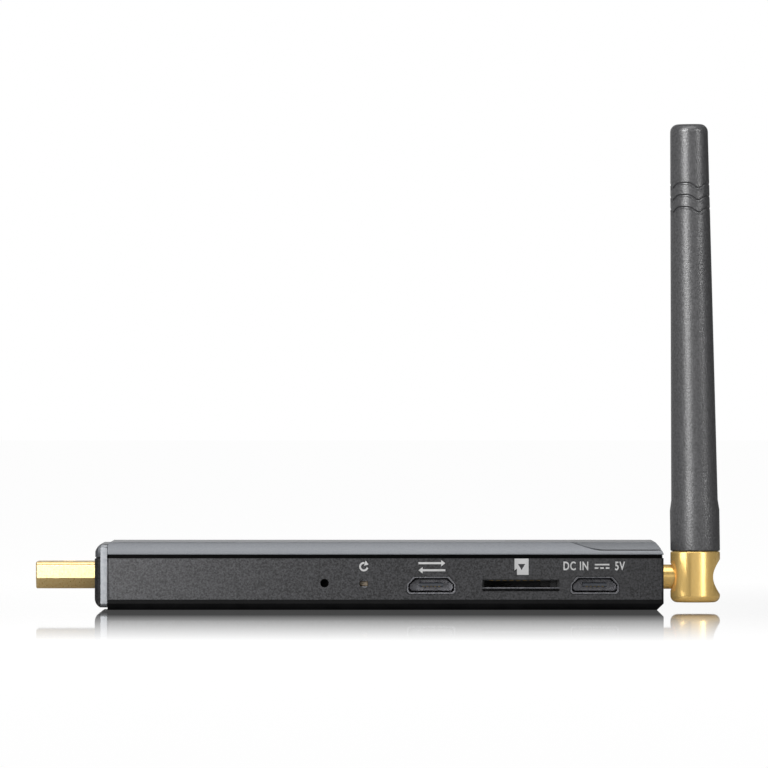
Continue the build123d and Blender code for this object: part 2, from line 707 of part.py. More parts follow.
def square_on_radio(half, low, high, mode=Mode.ADD):
    """A square block centred on the radio module, in the part being built."""
    block((RADIO_X - half, RADIO_X + half), (RADIO_Y - half, RADIO_Y + half), (low, high), mode)


shield_bottom = BOARD_TOP + RADIO_BASE
shield_top = shield_bottom + SHIELD_HEIGHT

with BuildPart() as radio_module:
    square_on_radio(RADIO_HALF, BOARD_TOP, shield_bottom)
save(radio_module, "radio_module")

with BuildPart() as radio_shield:
    square_on_radio(SHIELD_HALF, shield_bottom, shield_top)
    fillet(radio_shield.faces().sort_by(Axis.Z)[-1].edges(), 0.3)
    square_on_radio(SHIELD_HALF - SHIELD_SHEET, shield_bottom, shield_top - SHIELD_SHEET, Mode.SUBTRACT)
save(radio_shield, "radio_shield")

with BuildPart() as thermal_pad:
    with BuildSketch(Plane.XY.offset(BOARD_TOP + PROCESSOR_HEIGHT)):
        with Locations(PROCESSOR_PLACE):
            Rectangle(*PAD_SIZE)
    extrude(amount=CEILING - SPREADER_THICKNESS - BOARD_TOP - PROCESSOR_HEIGHT)
save(thermal_pad, "thermal_pad")

with BuildPart() as heat_spreader:
    with BuildSketch(Plane.XY.offset(CEILING - SPREADER_THICKNESS)):
        with Locations((SPREADER_X, 0)):
            RectangleRounded(*SPREADER_SIZE, SPREADER_CORNER)
    extrude(amount=SPREADER_THICKNESS)
save(heat_spreader, "heat_spreader")


# ---------------------------------------------------------------- micro-USB sockets


def micro_usb(name, x):
    """One micro-USB socket under the board: metal shell with a flared mouth, tongue, contacts."""
    back = SHELL_FRONT + USB_DEPTH
    with BuildPart() as shell:
        with BuildSketch(front_plane(SHELL_FRONT + USB_LIP)):
            with Locations((x, USB_Z)):
                add(usb_section(0))
        extrude(amount=-(USB_DEPTH - USB_LIP))
        with BuildSketch(front_plane(SHELL_FRONT)):
            with Locations((x, USB_Z)):
                add(usb_section(USB_LIP / 2))
        with BuildSketch(front_plane(SHELL_FRONT + USB_LIP)):
            with Locations((x, USB_Z)):
                add(usb_section(0))
        loft()
        with BuildSketch(front_plane(SHELL_FRONT)):
            with Locations((x, USB_Z)):
                add(usb_section(USB_LIP / 2 - USB_SHEET))
        with BuildSketch(front_plane(SHELL_FRONT + USB_LIP)):
            with Locations((x, USB_Z)):
                add(usb_section(-USB_SHEET))
        loft(mode=Mode.SUBTRACT)
        with BuildSketch(front_plane(SHELL_FRONT + USB_LIP)):
            with Locations((x, USB_Z)):
                add(usb_section(-USB_SHEET))
        extrude(amount=-(USB_DEPTH - USB_LIP - USB_SHEET), mode=Mode.SUBTRACT)
    save(shell, f"{name}_shell")

    tongue_low = USB_Z - USB_TONGUE_DROP
    with BuildPart() as tongue:
        block(
            (x - USB_TONGUE_WIDTH / 2, x + USB_TONGUE_WIDTH / 2),
            (SHELL_FRONT + USB_TONGUE_SET_BACK, back - USB_SHEET),
            (tongue_low, tongue_low + USB_TONGUE_HEIGHT),
        )
        chamfer(tongue.faces().sort_by(Axis.Y)[0].edges().filter_by(Axis.X), USB_TONGUE_TIP)
        with BuildSketch(front_plane(SHELL_FRONT + USB_TONGUE_SET_BACK)):
            with Locations((x, tongue_low + USB_CONTACT / 2)):
                with GridLocations(USB_PITCH, 0, USB_CONTACT_COUNT, 1):
                    Rectangle(USB_CONTACT_WIDTH, USB_CONTACT)
        extrude(amount=-USB_DEPTH, mode=Mode.SUBTRACT)
    save(tongue, f"{name}_tongue")

    contact_front = USB_TONGUE_SET_BACK + USB_CONTACT_SET_BACK
    with BuildPart() as contacts:
        with BuildSketch(front_plane(SHELL_FRONT + contact_front)):
            with Locations((x, tongue_low + USB_CONTACT / 2)):
                with GridLocations(USB_PITCH, 0, USB_CONTACT_COUNT, 1):
                    Rectangle(USB_CONTACT_WIDTH, USB_CONTACT)
        extrude(amount=-(USB_DEPTH - contact_front - USB_SHEET))
    save(contacts, f"{name}_contacts")


micro_usb("usb_data", USB_DATA_X)
micro_usb("usb_power", USB_POWER_X)


# ---------------------------------------------------------------- card socket

CARD_BACK = CARD_SOCKET_FRONT + CARD_SOCKET_DEPTH
CARD_LEFT = CARD_X - CARD_SOCKET_WIDTH / 2
CARD_RIGHT = CARD_X + CARD_SOCKET_WIDTH / 2
SLIDER_RIGHT = CARD_RIGHT - CARD_SHEET - CARD_RAIL - FIT_GAP
SLIDER_BACK = SLIDER_FRONT + SLIDER_LENGTH

with BuildPart() as card_socket_base:
    left = CARD_LEFT + CARD_SHEET
    right = CARD_RIGHT - CARD_SHEET
    depth = (CARD_SOCKET_FRONT, CARD_BACK)
    block((left, right), depth, (CARD_BASE_Z, BOARD_BOTTOM))
    # rails at both sides and at the back
    rail_height = (CARD_SHEET_Z + CARD_SHEET, CARD_BASE_Z)
    block((left, left + CARD_RAIL), depth, rail_height)
    block((right - CARD_RAIL, right), depth, rail_height)
    block((left, right), (CARD_BACK - CARD_RAIL, CARD_BACK), rail_height)
    with BuildSketch(front_plane(CARD_SOCKET_FRONT)):
        with Locations((CARD_CONTACT_X, CARD_BASE_Z + CARD_CONTACT / 2)):
            with GridLocations(CARD_CONTACT_PITCH, 0, CARD_CONTACT_COUNT, 1):
                Rectangle(CARD_CONTACT_WIDTH, CARD_CONTACT)
    extrude(amount=-CARD_SOCKET_DEPTH, mode=Mode.SUBTRACT)
save(card_socket_base, "card_socket_base")

with BuildPart() as card_contacts:
    with BuildSketch(front_plane(CARD_SOCKET_FRONT + CARD_CONTACT_SET_BACK)):
        with Locations((CARD_CONTACT_X, CARD_BASE_Z + CARD_CONTACT / 2)):
            with GridLocations(CARD_CONTACT_PITCH, 0, CARD_CONTACT_COUNT, 1):
                Rectangle(CARD_CONTACT_WIDTH, CARD_CONTACT)
    extrude(amount=-CARD_CONTACT_LENGTH)
save(card_contacts, "card_contacts")

with BuildPart() as card_socket_cover:
    depth = (CARD_SOCKET_FRONT, CARD_BACK)
    block((CARD_LEFT, CARD_RIGHT), depth, (CARD_SHEET_Z, CARD_SHEET_Z + CARD_SHEET))
    block((CARD_LEFT, CARD_LEFT + CARD_SHEET), depth, (CARD_SHEET_Z, BOARD_BOTTOM))
    block((CARD_RIGHT - CARD_SHEET, CARD_RIGHT), depth, (CARD_SHEET_Z, BOARD_BOTTOM))
save(card_socket_cover, "card_socket_cover")

with BuildPart() as card_slider:
    height = (CARD_SHEET_Z + CARD_SHEET + FIT_GAP, CARD_BASE_Z - FIT_GAP)
    block((SLIDER_RIGHT - SLIDER_WIDTH, SLIDER_RIGHT), (SLIDER_FRONT, SLIDER_BACK), height)
    # nose that the card's end pushes
    block((SLIDER_RIGHT - SLIDER_NOSE, SLIDER_RIGHT), (SLIDER_BACK - SLIDER_NOSE_DEPTH, SLIDER_BACK), height)
save(card_slider, "card_slider")

with BuildPart() as card_spring:
    coil_x = SLIDER_RIGHT - SLIDER_WIDTH / 2
    coil_y = SLIDER_BACK + SPRING_WIRE + SPRING_END_GAP
    coil_z = (CARD_SHEET_Z + CARD_SHEET + CARD_BASE_Z) / 2
    coil_length = CARD_BACK - CARD_RAIL - SLIDER_BACK - 2 * (SPRING_WIRE + SPRING_END_GAP)
    with BuildLine() as coil:
        Helix(
            coil_length / SPRING_TURNS,
            coil_length,
            SPRING_RADIUS,
            center=(coil_x, coil_y, coil_z),
            direction=(0, 1, 0),
        )
    with BuildSketch(Plane(origin=coil.line @ 0, z_dir=coil.line % 0)):
        Circle(SPRING_WIRE)
    sweep(path=coil.line, is_frenet=True)
save(card_spring, "card_spring")


# ---------------------------------------------------------------- reset switch and microphone

with BuildPart() as reset_switch:
    width, depth = RESET_BODY
    low = RESET_Z - RESET_DROP
    block((RESET_X - width / 2, RESET_X + width / 2), (RESET_FRONT, RESET_FRONT + depth), (low, BOARD_BOTTOM))
    block(
        (RESET_X - RESET_FLANGE[0] / 2 - FIT_GAP, RESET_X + RESET_FLANGE[0] / 2 + FIT_GAP),
        (RESET_FRONT + RESET_SHEET, RESET_FRONT + depth - RESET_SHEET),
        (RESET_Z - RESET_FLANGE[1] / 2 - FIT_GAP, RESET_Z + RESET_FLANGE[1] / 2 + FIT_GAP),
        Mode.SUBTRACT,
    )
    block(
        (RESET_X - RESET_STEM[0] / 2 - FIT_GAP, RESET_X + RESET_STEM[0] / 2 + FIT_GAP),
        (RESET_FRONT, RESET_FRONT + RESET_SHEET),
        (RESET_Z - RESET_STEM[1] / 2 - FIT_GAP, RESET_Z + RESET_STEM[1] / 2 + FIT_GAP),
        Mode.SUBTRACT,
    )
save(reset_switch, "reset_switch")

with BuildPart() as reset_plunger:
    flange_front = RESET_FRONT + RESET_SHEET + RESET_FLANGE_GAP
    block(
        (RESET_X - RESET_STEM[0] / 2, RESET_X + RESET_STEM[0] / 2),
        (RESET_TIP, flange_front),
        (RESET_Z - RESET_STEM[1] / 2, RESET_Z + RESET_STEM[1] / 2),
    )
    fillet(reset_plunger.faces().sort_by(Axis.Y)[0].edges(), RESET_TIP_ROUND)
    block(
        (RESET_X - RESET_FLANGE[0] / 2, RESET_X + RESET_FLANGE[0] / 2),
        (flange_front, flange_front + RESET_FLANGE_THICKNESS),
        (RESET_Z - RESET_FLANGE[1] / 2, RESET_Z + RESET_FLANGE[1] / 2),
    )
save(reset_plunger, "reset_plunger")

inner_face = -HALF_WIDTH + WALL
with BuildPart() as microphone_boot:
    with BuildSketch(front_plane(inner_face)):
        with Locations((MIC_X, MIC_Z)):
            Circle(BOOT_RADIUS)
    extrude(amount=-BOOT_DEPTH)
    with BuildSketch(front_plane(inner_face)):
        with Locations((MIC_X, MIC_Z)):
            Circle(MIC_HOLE)
    extrude(amount=-BOOT_DEPTH, mode=Mode.SUBTRACT)
    with BuildSketch(front_plane(inner_face + BOOT_DEPTH - MIC_DEPTH)):
        with Locations((MIC_X, MIC_Z)):
            Circle(MIC_RADIUS)
    extrude(amount=-MIC_DEPTH, mode=Mode.SUBTRACT)
save(microphone_boot, "microphone_boot")

with BuildPart() as microphone:
    with BuildSketch(front_plane(inner_face + BOOT_DEPTH - MIC_DEPTH)):
        with Locations((MIC_X, MIC_Z)):
            Circle(MIC_RADIUS - MIC_GAP)
    extrude(amount=-MIC_DEPTH)
    # sound port
    with BuildSketch(front_plane(inner_face + BOOT_DEPTH - MIC_DEPTH)):
        with Locations((MIC_X, MIC_Z)):
            Circle(MIC_PORT_RADIUS)
    extrude(amount=-MIC_PORT_DEPTH, mode=Mode.SUBTRACT)
save(microphone, "microphone")


# ---------------------------------------------------------------- antenna cable and pivot


def turned(x, radii, mode=Mode.ADD):
    """A ring or disc about the pivot axis between two places along X: radii are outer, inner."""
    with BuildSketch(Plane.YZ.offset(x[0])) as ring:
        with Locations((0, PIVOT_Z)):
            Circle(radii[0])
            if len(radii) > 1:
                Circle(radii[1], mode=Mode.SUBTRACT)
    extrude(ring.sketch, amount=x[1] - x[0], mode=mode)


connector_place = (LEAD_START[0] - CONNECTOR_SIZE / 2, LEAD_START[1])
with BuildPart() as antenna_connector:
    with BuildSketch(Plane.XY.offset(BOARD_TOP)):
        with Locations(connector_place):
            Rectangle(CONNECTOR_SIZE, CONNECTOR_SIZE)
    extrude(amount=CONNECTOR_BASE)
    with BuildSketch(Plane.XY.offset(BOARD_TOP + CONNECTOR_BASE)):
        with Locations(connector_place):
            Circle(CONNECTOR_RADIUS)
    extrude(amount=CONNECTOR_HEIGHT)
save(antenna_connector, "antenna_connector")

with BuildPart() as antenna_lead:
    with BuildLine() as route:
        FilletPolyline(
            LEAD_START,
            (LEAD_START[0] + LEAD_RUN, LEAD_START[1], LEAD_START[2]),
            (LEAD_DIP_X, 0, PIVOT_Z),
            (LEAD_END_X, 0, PIVOT_Z),
            radius=LEAD_BEND,
        )
    with BuildSketch(Plane(origin=route.line @ 0, z_dir=route.line % 0)):
        Circle(CABLE_RADIUS)
    sweep(path=route.line)
save(antenna_lead, "antenna_lead")

wall_inside = CASE_RIGHT - WALL
flange_left = wall_inside - BUSH_FLANGE
with BuildPart() as pivot_bush:
    turned((wall_inside, CASE_RIGHT), (BUSH_RADIUS - PRESS_GAP, PIN_RADIUS + PRESS_GAP))
    turned((flange_left, wall_inside), (BUSH_FLANGE_RADIUS, PIN_RADIUS + PRESS_GAP))
save(pivot_bush, "pivot_bush")

with BuildPart() as pivot_pin:
    shoulder = WEB_LEFT - PIVOT_CLEARANCE
    turned((flange_left - PIN_HEAD, flange_left), (BUSH_RADIUS,))
    turned((flange_left, shoulder), (PIN_RADIUS,))
    turned((shoulder, SPIGOT_RIGHT), (SPIGOT_RADIUS,))
    turned((flange_left - PIN_HEAD, SPIGOT_RIGHT), (PIN_BORE,), Mode.SUBTRACT)
    # window that lets the antenna's tail turn with the knuckle
    window_height = (PIVOT_Z - WINDOW_DROP, PIVOT_Z + WINDOW_REACH)
    block(WINDOW_SPAN, (-WINDOW_REACH, WINDOW_REACH), window_height, Mode.SUBTRACT)
save(pivot_pin, "pivot_pin")

with BuildPart() as friction_washer:
    turned(WASHER, (RETAINER_RADIUS, SPIGOT_RADIUS + PIVOT_CLEARANCE))
save(friction_washer, "friction_washer")

with BuildPart() as pin_retainer:
    turned(RETAINER, (RETAINER_RADIUS, SPIGOT_RADIUS + PRESS_GAP))
save(pin_retainer, "pin_retainer")


# ---------------------------------------------------------------- antenna

with BuildPart() as knuckle:
    with BuildSketch(Plane.XY.offset(KNUCKLE_BOTTOM)):
        with Locations((KNUCKLE_X, 0)):
            Circle(KNUCKLE_RADIUS)
    extrude(amount=KNUCKLE_TOP - KNUCKLE_BOTTOM)
    bottom_face = knuckle.faces().sort_by(Axis.Z)[0]
    top_face = knuckle.faces().sort_by(Axis.Z)[-1]
    fillet(bottom_face.edges(), KNUCKLE_BEVEL)
    chamfer(top_face.edges(), KNUCKLE_TOP_BEVEL)
    # neck inside the sleeve
    with BuildSketch(Plane.XY.offset(KNUCKLE_TOP)):
        with Locations((KNUCKLE_X, 0)):
            Circle(NECK_RADIUS)
    extrude(amount=NECK_TOP - KNUCKLE_TOP)
    turned((KNUCKLE_X - KNUCKLE_RADIUS, WEB_LEFT), (PIN_HOLE_RADIUS,), Mode.SUBTRACT)
    turned((WEB_RIGHT, KNUCKLE_X + KNUCKLE_RADIUS), (EYE_RADIUS,), Mode.SUBTRACT)
    turned((WEB_LEFT, WEB_RIGHT), (SPIGOT_RADIUS + PIVOT_CLEARANCE,), Mode.SUBTRACT)
    with BuildSketch(Plane.XY.offset(PIVOT_Z)):
        with Locations((KNUCKLE_X, 0)):
            Circle(CABLE_CHANNEL)
    extrude(amount=NECK_TOP - PIVOT_Z, mode=Mode.SUBTRACT)
save(knuckle, "knuckle")

with BuildPart() as knuckle_plug:
    turned(PLUG_SPAN, (PLUG_RADIUS,))
save(knuckle_plug, "knuckle_plug")

lean = math.radians(WHIP_LEAN)
whip_foot = (KNUCKLE_X, 0, SLEEVE_BOTTOM)
whip_side = Plane(origin=whip_foot, x_dir=(math.cos(lean), 0, math.sin(lean)), z_dir=(0, -1, 0))
whip_up = Plane(origin=whip_foot, x_dir=whip_side.x_dir, z_dir=whip_side.y_dir)


def whip_radius(height):
    """Outside radius of the tapering whip at a height along its axis."""
    share = (height - WHIP_FOOT) / (WHIP_TOP - WHIP_FOOT)
    return WHIP_FOOT_RADIUS + share * (WHIP_TOP_RADIUS - WHIP_FOOT_RADIUS)


with BuildPart() as antenna_sleeve:
    with BuildSketch(whip_side):
        with BuildLine():
            outline = Polyline(
                (0, -WHIP_OVERLAP),
                (KNUCKLE_RADIUS, -WHIP_OVERLAP),
                (KNUCKLE_RADIUS, COLLAR_LENGTH),
                (WHIP_FOOT_RADIUS, WHIP_FOOT),
                (WHIP_TOP_RADIUS, WHIP_TOP - WHIP_TOP_ROUND),
            )
            rounding = RadiusArc(
                outline @ 1,
                (WHIP_TOP_RADIUS - WHIP_TOP_ROUND, WHIP_TOP),
                -WHIP_TOP_ROUND,
            )
            Polyline(rounding @ 1, (0, WHIP_TOP), (0, -WHIP_OVERLAP))
        make_face()
    revolve(axis=Axis(whip_foot, whip_side.y_dir))
    split(bisect_by=Plane.XY.offset(SLEEVE_BOTTOM), keep=Keep.TOP)
    # hollow: a seat for the knuckle's neck, then room for the radiator
    with BuildSketch(Plane.XY.offset(SLEEVE_BOTTOM)):
        with Locations((KNUCKLE_X, 0)):
            Circle(NECK_RADIUS + FIT_GAP)
    extrude(amount=NECK_TOP + NECK_END_GAP - SLEEVE_BOTTOM, mode=Mode.SUBTRACT)
    with BuildSketch(whip_up.offset(NECK_TOP - SLEEVE_BOTTOM)):
        Circle(SLEEVE_CLEAR)
    extrude(amount=SLEEVE_CLEAR_TOP + SLEEVE_BOTTOM - NECK_TOP, mode=Mode.SUBTRACT)
    with BuildSketch(whip_side):
        for height in GROOVE_HEIGHTS:
            with Locations((whip_radius(height), height)):
                Circle(GROOVE_RADIUS)
    revolve(axis=Axis(whip_foot, whip_side.y_dir), mode=Mode.SUBTRACT)
save(antenna_sleeve, "antenna_sleeve")

with BuildPart() as antenna_tail:
    with BuildSketch(Plane.XY.offset(TAIL_BOTTOM)):
        with Locations((KNUCKLE_X, 0)):
            Circle(TAIL_RADIUS)
    extrude(amount=SLEEVE_BOTTOM + RADIATOR_START - TAIL_GAP - TAIL_BOTTOM)
save(antenna_tail, "antenna_tail")

with BuildPart() as radiator_tube:
    with BuildSketch(whip_up.offset(RADIATOR_START)):
        Circle(RADIATOR_RADIUS)
    extrude(amount=RADIATOR_LENGTH)
    with BuildSketch(whip_up.offset(RADIATOR_START + RADIATOR_WALL)):
        Circle(RADIATOR_RADIUS - RADIATOR_WALL)
    extrude(amount=RADIATOR_LENGTH, mode=Mode.SUBTRACT)
save(radiator_tube, "radiator_tube")

with BuildPart() as radiator_rod:
    with BuildSketch(whip_up.offset(RADIATOR_START + RADIATOR_WALL)):
        Circle(ROD_RADIUS)
    extrude(amount=ROD_TOP - RADIATOR_START - RADIATOR_WALL)
save(radiator_rod, "radiator_rod")
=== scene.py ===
import json
import math

import bpy
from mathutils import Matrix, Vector


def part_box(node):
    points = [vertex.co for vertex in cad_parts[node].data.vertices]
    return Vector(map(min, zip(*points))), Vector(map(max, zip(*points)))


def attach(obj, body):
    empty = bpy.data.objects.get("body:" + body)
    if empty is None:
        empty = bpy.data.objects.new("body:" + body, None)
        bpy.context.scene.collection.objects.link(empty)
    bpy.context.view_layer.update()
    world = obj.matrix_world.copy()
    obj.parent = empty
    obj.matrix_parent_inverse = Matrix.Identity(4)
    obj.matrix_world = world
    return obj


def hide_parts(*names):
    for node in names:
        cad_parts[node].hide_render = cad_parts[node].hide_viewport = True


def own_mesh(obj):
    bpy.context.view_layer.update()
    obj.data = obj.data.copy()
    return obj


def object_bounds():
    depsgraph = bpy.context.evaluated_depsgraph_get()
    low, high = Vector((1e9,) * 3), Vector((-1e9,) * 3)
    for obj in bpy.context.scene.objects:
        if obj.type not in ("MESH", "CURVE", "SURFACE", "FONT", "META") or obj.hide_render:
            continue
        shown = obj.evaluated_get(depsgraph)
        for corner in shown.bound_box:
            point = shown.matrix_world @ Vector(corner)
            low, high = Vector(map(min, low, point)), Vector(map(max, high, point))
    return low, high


# A streaming media player stick with a swivelling whip antenna, lying on a pale glossy floor.
# Metres, in the model's own frame: +X towards the antenna, +Z up, the sockets face -Y.

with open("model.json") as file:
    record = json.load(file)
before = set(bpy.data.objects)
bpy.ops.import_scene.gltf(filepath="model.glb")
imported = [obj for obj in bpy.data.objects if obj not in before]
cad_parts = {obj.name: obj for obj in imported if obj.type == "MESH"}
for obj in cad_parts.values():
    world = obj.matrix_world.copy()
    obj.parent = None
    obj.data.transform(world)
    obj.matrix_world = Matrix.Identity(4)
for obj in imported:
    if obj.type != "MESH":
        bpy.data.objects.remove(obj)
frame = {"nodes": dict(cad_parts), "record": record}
cad_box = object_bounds()

MM = 0.001

# casing
WALL_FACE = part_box("side_frame")[0].y  # outside of the socket wall
WALL_TOP = 8.45 * MM  # the dark gap under the cover starts here
SHARP_EDGE = 32  # degrees: shallower edges are shaded smooth and get no rounding
SAME_PLACE = 0.001 * MM  # vertices closer than this are merged
FLAT_ANGLE = 0.2  # degrees: faces that meet at less are merged into one

# sockets: where their printed marks stand
DATA_SOCKET_X = sum(corner.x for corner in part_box("usb_data_shell")) / 2
POWER_SOCKET_X = sum(corner.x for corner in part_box("usb_power_shell")) / 2
CARD_SLOT_X = sum(corner.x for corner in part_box("card_socket_cover")) / 2
RESET_X = sum(corner.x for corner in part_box("reset_plunger")) / 2
MARK_HEIGHT = 7.1 * MM  # middle line of the printed marks
INK_THICKNESS = 0.012 * MM  # how far a mark stands proud of the wall
INK_DEPTH = 0.05 * MM  # how far a mark is sunk into the wall behind its face
LETTER_HEIGHT = MARK_HEIGHT + 0.05 * MM
LETTER_SIZE = 1.95 * MM
LETTER_WIDTH = 0.72  # share of the typeface's own width
LETTER_SPACING = 1.12
LETTER_BOLDNESS = 0.04 * MM
ARROW_STROKE = 0.34  # of the arrows, in millimetres
ARROW_HEAD = 0.52  # half the width of an arrow's head, in millimetres
ARC_STEPS = 24

# antenna sleeve
WHIP_X = sum(corner.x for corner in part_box("knuckle")) / 2
COLLAR_RADIUS = (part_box("knuckle")[1].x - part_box("knuckle")[0].x) / 2
SLEEVE_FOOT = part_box("antenna_sleeve")[0].z
WHIP_LEAN = math.radians(0.85)
COLLAR_TOP = 6.7 * MM
TAPER_START = (8.4 * MM, 3.85 * MM)  # height along the whip, radius
TAPER_END = (70.5 * MM, 3.11 * MM)
TAPER_STEPS = 10
WHIP_SIDES = 112
SLEEVE_OVERLAP = 1.0 * MM  # drawn below the sleeve's end and then cut off level
SLEEVE_GAP = 0.06 * MM  # the sleeve is cut off this far below its CAD end
SLEEVE_SHARP_EDGE = 35  # degrees
TIP_ROUND = 1.3 * MM
FOOT_ROUND = 0.25 * MM
DIMPLE_RIM = 1.0 * MM  # flat ring round the gate dimple
DIMPLE_SLOPE = 0.12 * MM
DIMPLE_DEPTH = 0.15 * MM
GROOVE_CRESTS = (60.7 * MM, 58.7 * MM, 56.7 * MM)
GROOVE_WIDTH = 0.28 * MM  # radius of the groove's round section
GROOVE_DIP = 0.9 * MM
GROOVE_WAVES = 4
GROOVE_POINTS = 144
GROOVE_PHASE = math.radians(25)

# camera, floor and the lights of the brass
CAMERA_DISTANCE = 2000 * MM
CAMERA_HEIGHT = 37.05 * MM
CAMERA_SIDE = 0.75 * MM
CAMERA_LENS = 571.9
FLOOR_SIZE = 12
FLOOR_DROP = 0.02 * MM  # how far the floor lies below the object
FLOOR_GLOW = 0.965
MIRROR_FULL = 40 * MM  # the floor mirrors fully up to this distance from the object
MIRROR_GONE = 245 * MM
MIRROR_SHARE = 1.05
MIRROR_INDEX = 1.7
MIRROR_ROUGHNESS = 0.02
FLOOR_MATT = (0.06, 0.06, 0.06, 1)  # the floor under its glow, for the camera
FLOOR_SHADE = (0.40, 0.40, 0.40, 1)  # the floor as the object sees it
STRIP_DISTANCE = 0.30
STRIP_HEIGHT = 0.30


# ---------------------------------------------------------------- helpers


def select_only(obj):
    """Make obj the one selected and active object."""
    bpy.ops.object.select_all(action="DESELECT")
    obj.select_set(True)
    bpy.context.view_layer.objects.active = obj


def apply_modifier(piece, kind, **settings):
    """Add a modifier, set it up and apply it at once."""
    select_only(piece)
    modifier = piece.modifiers.new(kind.lower(), kind)
    for name, value in settings.items():
        setattr(modifier, name, value)
    bpy.ops.object.modifier_apply(modifier=modifier.name)


def finished(piece, body, material):
    """Give a finished piece its material and its body."""
    piece.data.materials.clear()
    piece.data.materials.append(material)
    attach(piece, body)
    return piece


# ---------------------------------------------------------------- materials


def shader_material(name, **settings):
    """A material whose main shader has these fixed settings; returns it with its shader."""
    material = bpy.data.materials.new(name)
    material.use_nodes = True
    shader = material.node_tree.nodes["Principled BSDF"]
    for socket, value in settings.items():
        shader.inputs[socket.replace("_", " ")].default_value = value
    return material, shader


def add_node(material, kind, **inputs):
    """A new node with these socket values."""
    node = material.node_tree.nodes.new(kind)
    for socket, value in inputs.items():
        node.inputs[socket.replace("_", " ")].default_value = value
    return node


def noise(material, size, detail=2.0, roughness=0.5, stretch=(1, 1, 1)):
    """Noise whose blotches are about size across, on the piece's own coordinates."""
    links = material.node_tree.links
    place = add_node(material, "ShaderNodeTexCoord")
    mapping = add_node(material, "ShaderNodeMapping", Scale=stretch)
    texture = add_node(material, "ShaderNodeTexNoise", Scale=1 / size, Detail=detail, Roughness=roughness)
    links.new(place.outputs["Object"], mapping.inputs["Vector"])
    links.new(mapping.outputs["Vector"], texture.inputs["Vector"])
    return texture.outputs["Fac"]


def blend_colours(material, fac, first, second):
    """A colour that runs from first to second over the middle of the noise's range."""
    ramp = add_node(material, "ShaderNodeValToRGB")
    ramp.color_ramp.elements[0].position = 0.35
    ramp.color_ramp.elements[1].position = 0.65
    ramp.color_ramp.elements[0].color = (*first, 1)
    ramp.color_ramp.elements[1].color = (*second, 1)
    material.node_tree.links.new(fac, ramp.inputs["Fac"])
    return ramp.outputs["Color"]


def roughness_from(material, shader, fac, low, high):
    """Roughness that varies between low and high with fac."""
    spread = add_node(material, "ShaderNodeMapRange", To_Min=low, To_Max=high)
    material.node_tree.links.new(fac, spread.inputs["Value"])
    material.node_tree.links.new(spread.outputs["Result"], shader.inputs["Roughness"])


def bump_from(material, shader, fac, strength, depth):
    """Fine relief that follows fac."""
    bump = add_node(material, "ShaderNodeBump", Strength=strength, Distance=depth)
    material.node_tree.links.new(fac, bump.inputs["Height"])
    material.node_tree.links.new(bump.outputs["Normal"], shader.inputs["Normal"])


def textured_wall():
    """Dark grey casing plastic with a fine spark-eroded grain."""
    material, shader = shader_material("textured dark plastic", Specular_IOR_Level=0.30)
    links = material.node_tree.links
    grain = noise(material, 0.30 * MM, 3, 0.65)
    colour = blend_colours(material, grain, (0.004, 0.004, 0.0045), (0.038, 0.038, 0.041))
    links.new(colour, shader.inputs["Base Color"])
    roughness_from(material, shader, grain, 0.46, 0.66)
    bump_from(material, shader, grain, 0.7, 0.04 * MM)
    return material


def cover_paint(name, dark, light):
    """Satin gunmetal paint with a faint flake and a slight unevenness."""
    material, shader = shader_material(name, Metallic=0.35, Coat_Weight=0.15, Coat_Roughness=0.3)
    links = material.node_tree.links
    flake = noise(material, 0.12 * MM, 2, 0.6)
    links.new(blend_colours(material, flake, dark, light), shader.inputs["Base Color"])
    roughness_from(material, shader, noise(material, 4 * MM, 3), 0.36, 0.44)
    bump_from(material, shader, flake, 0.12, 0.01 * MM)
    return material


def smooth_plastic(name, dark, light, low=0.3, high=0.42, specular=0.5):
    """Plain moulded plastic with faint flow marks."""
    material, shader = shader_material(name, Specular_IOR_Level=specular)
    links = material.node_tree.links
    flow = noise(material, 2.5 * MM, 4)
    links.new(blend_colours(material, flow, dark, light), shader.inputs["Base Color"])
    roughness_from(material, shader, flow, low, high)
    bump_from(material, shader, noise(material, 0.15 * MM, 2), 0.15, 0.01 * MM)
    return material


def metal(name, dark, light, low, high, size=0.6 * MM, stretch=(1, 1, 1), strength=0.1, metallic=1.0):
    """Plated, brushed or turned metal: stretch draws the marks out along an axis."""
    material, shader = shader_material(name, Metallic=metallic)
    links = material.node_tree.links
    marks = noise(material, size, 4, 0.6, stretch)
    links.new(blend_colours(material, marks, dark, light), shader.inputs["Base Color"])
    roughness_from(material, shader, marks, low, high)
    bump_from(material, shader, marks, strength, 0.01 * MM)
    return material


def antenna_rubber():
    """Dark moulded sleeve with a sharp fine grain that sparkles along its highlights."""
    material, shader = shader_material("grained antenna rubber", Specular_IOR_Level=0.7)
    links = material.node_tree.links
    grain = noise(material, 0.36 * MM, 3, 0.65)
    colour = blend_colours(material, grain, (0.024, 0.024, 0.025), (0.046, 0.046, 0.048))
    links.new(colour, shader.inputs["Base Color"])
    roughness_from(material, shader, grain, 0.26, 0.42)
    bump_from(material, shader, grain, 0.7, 0.06 * MM)
    return material


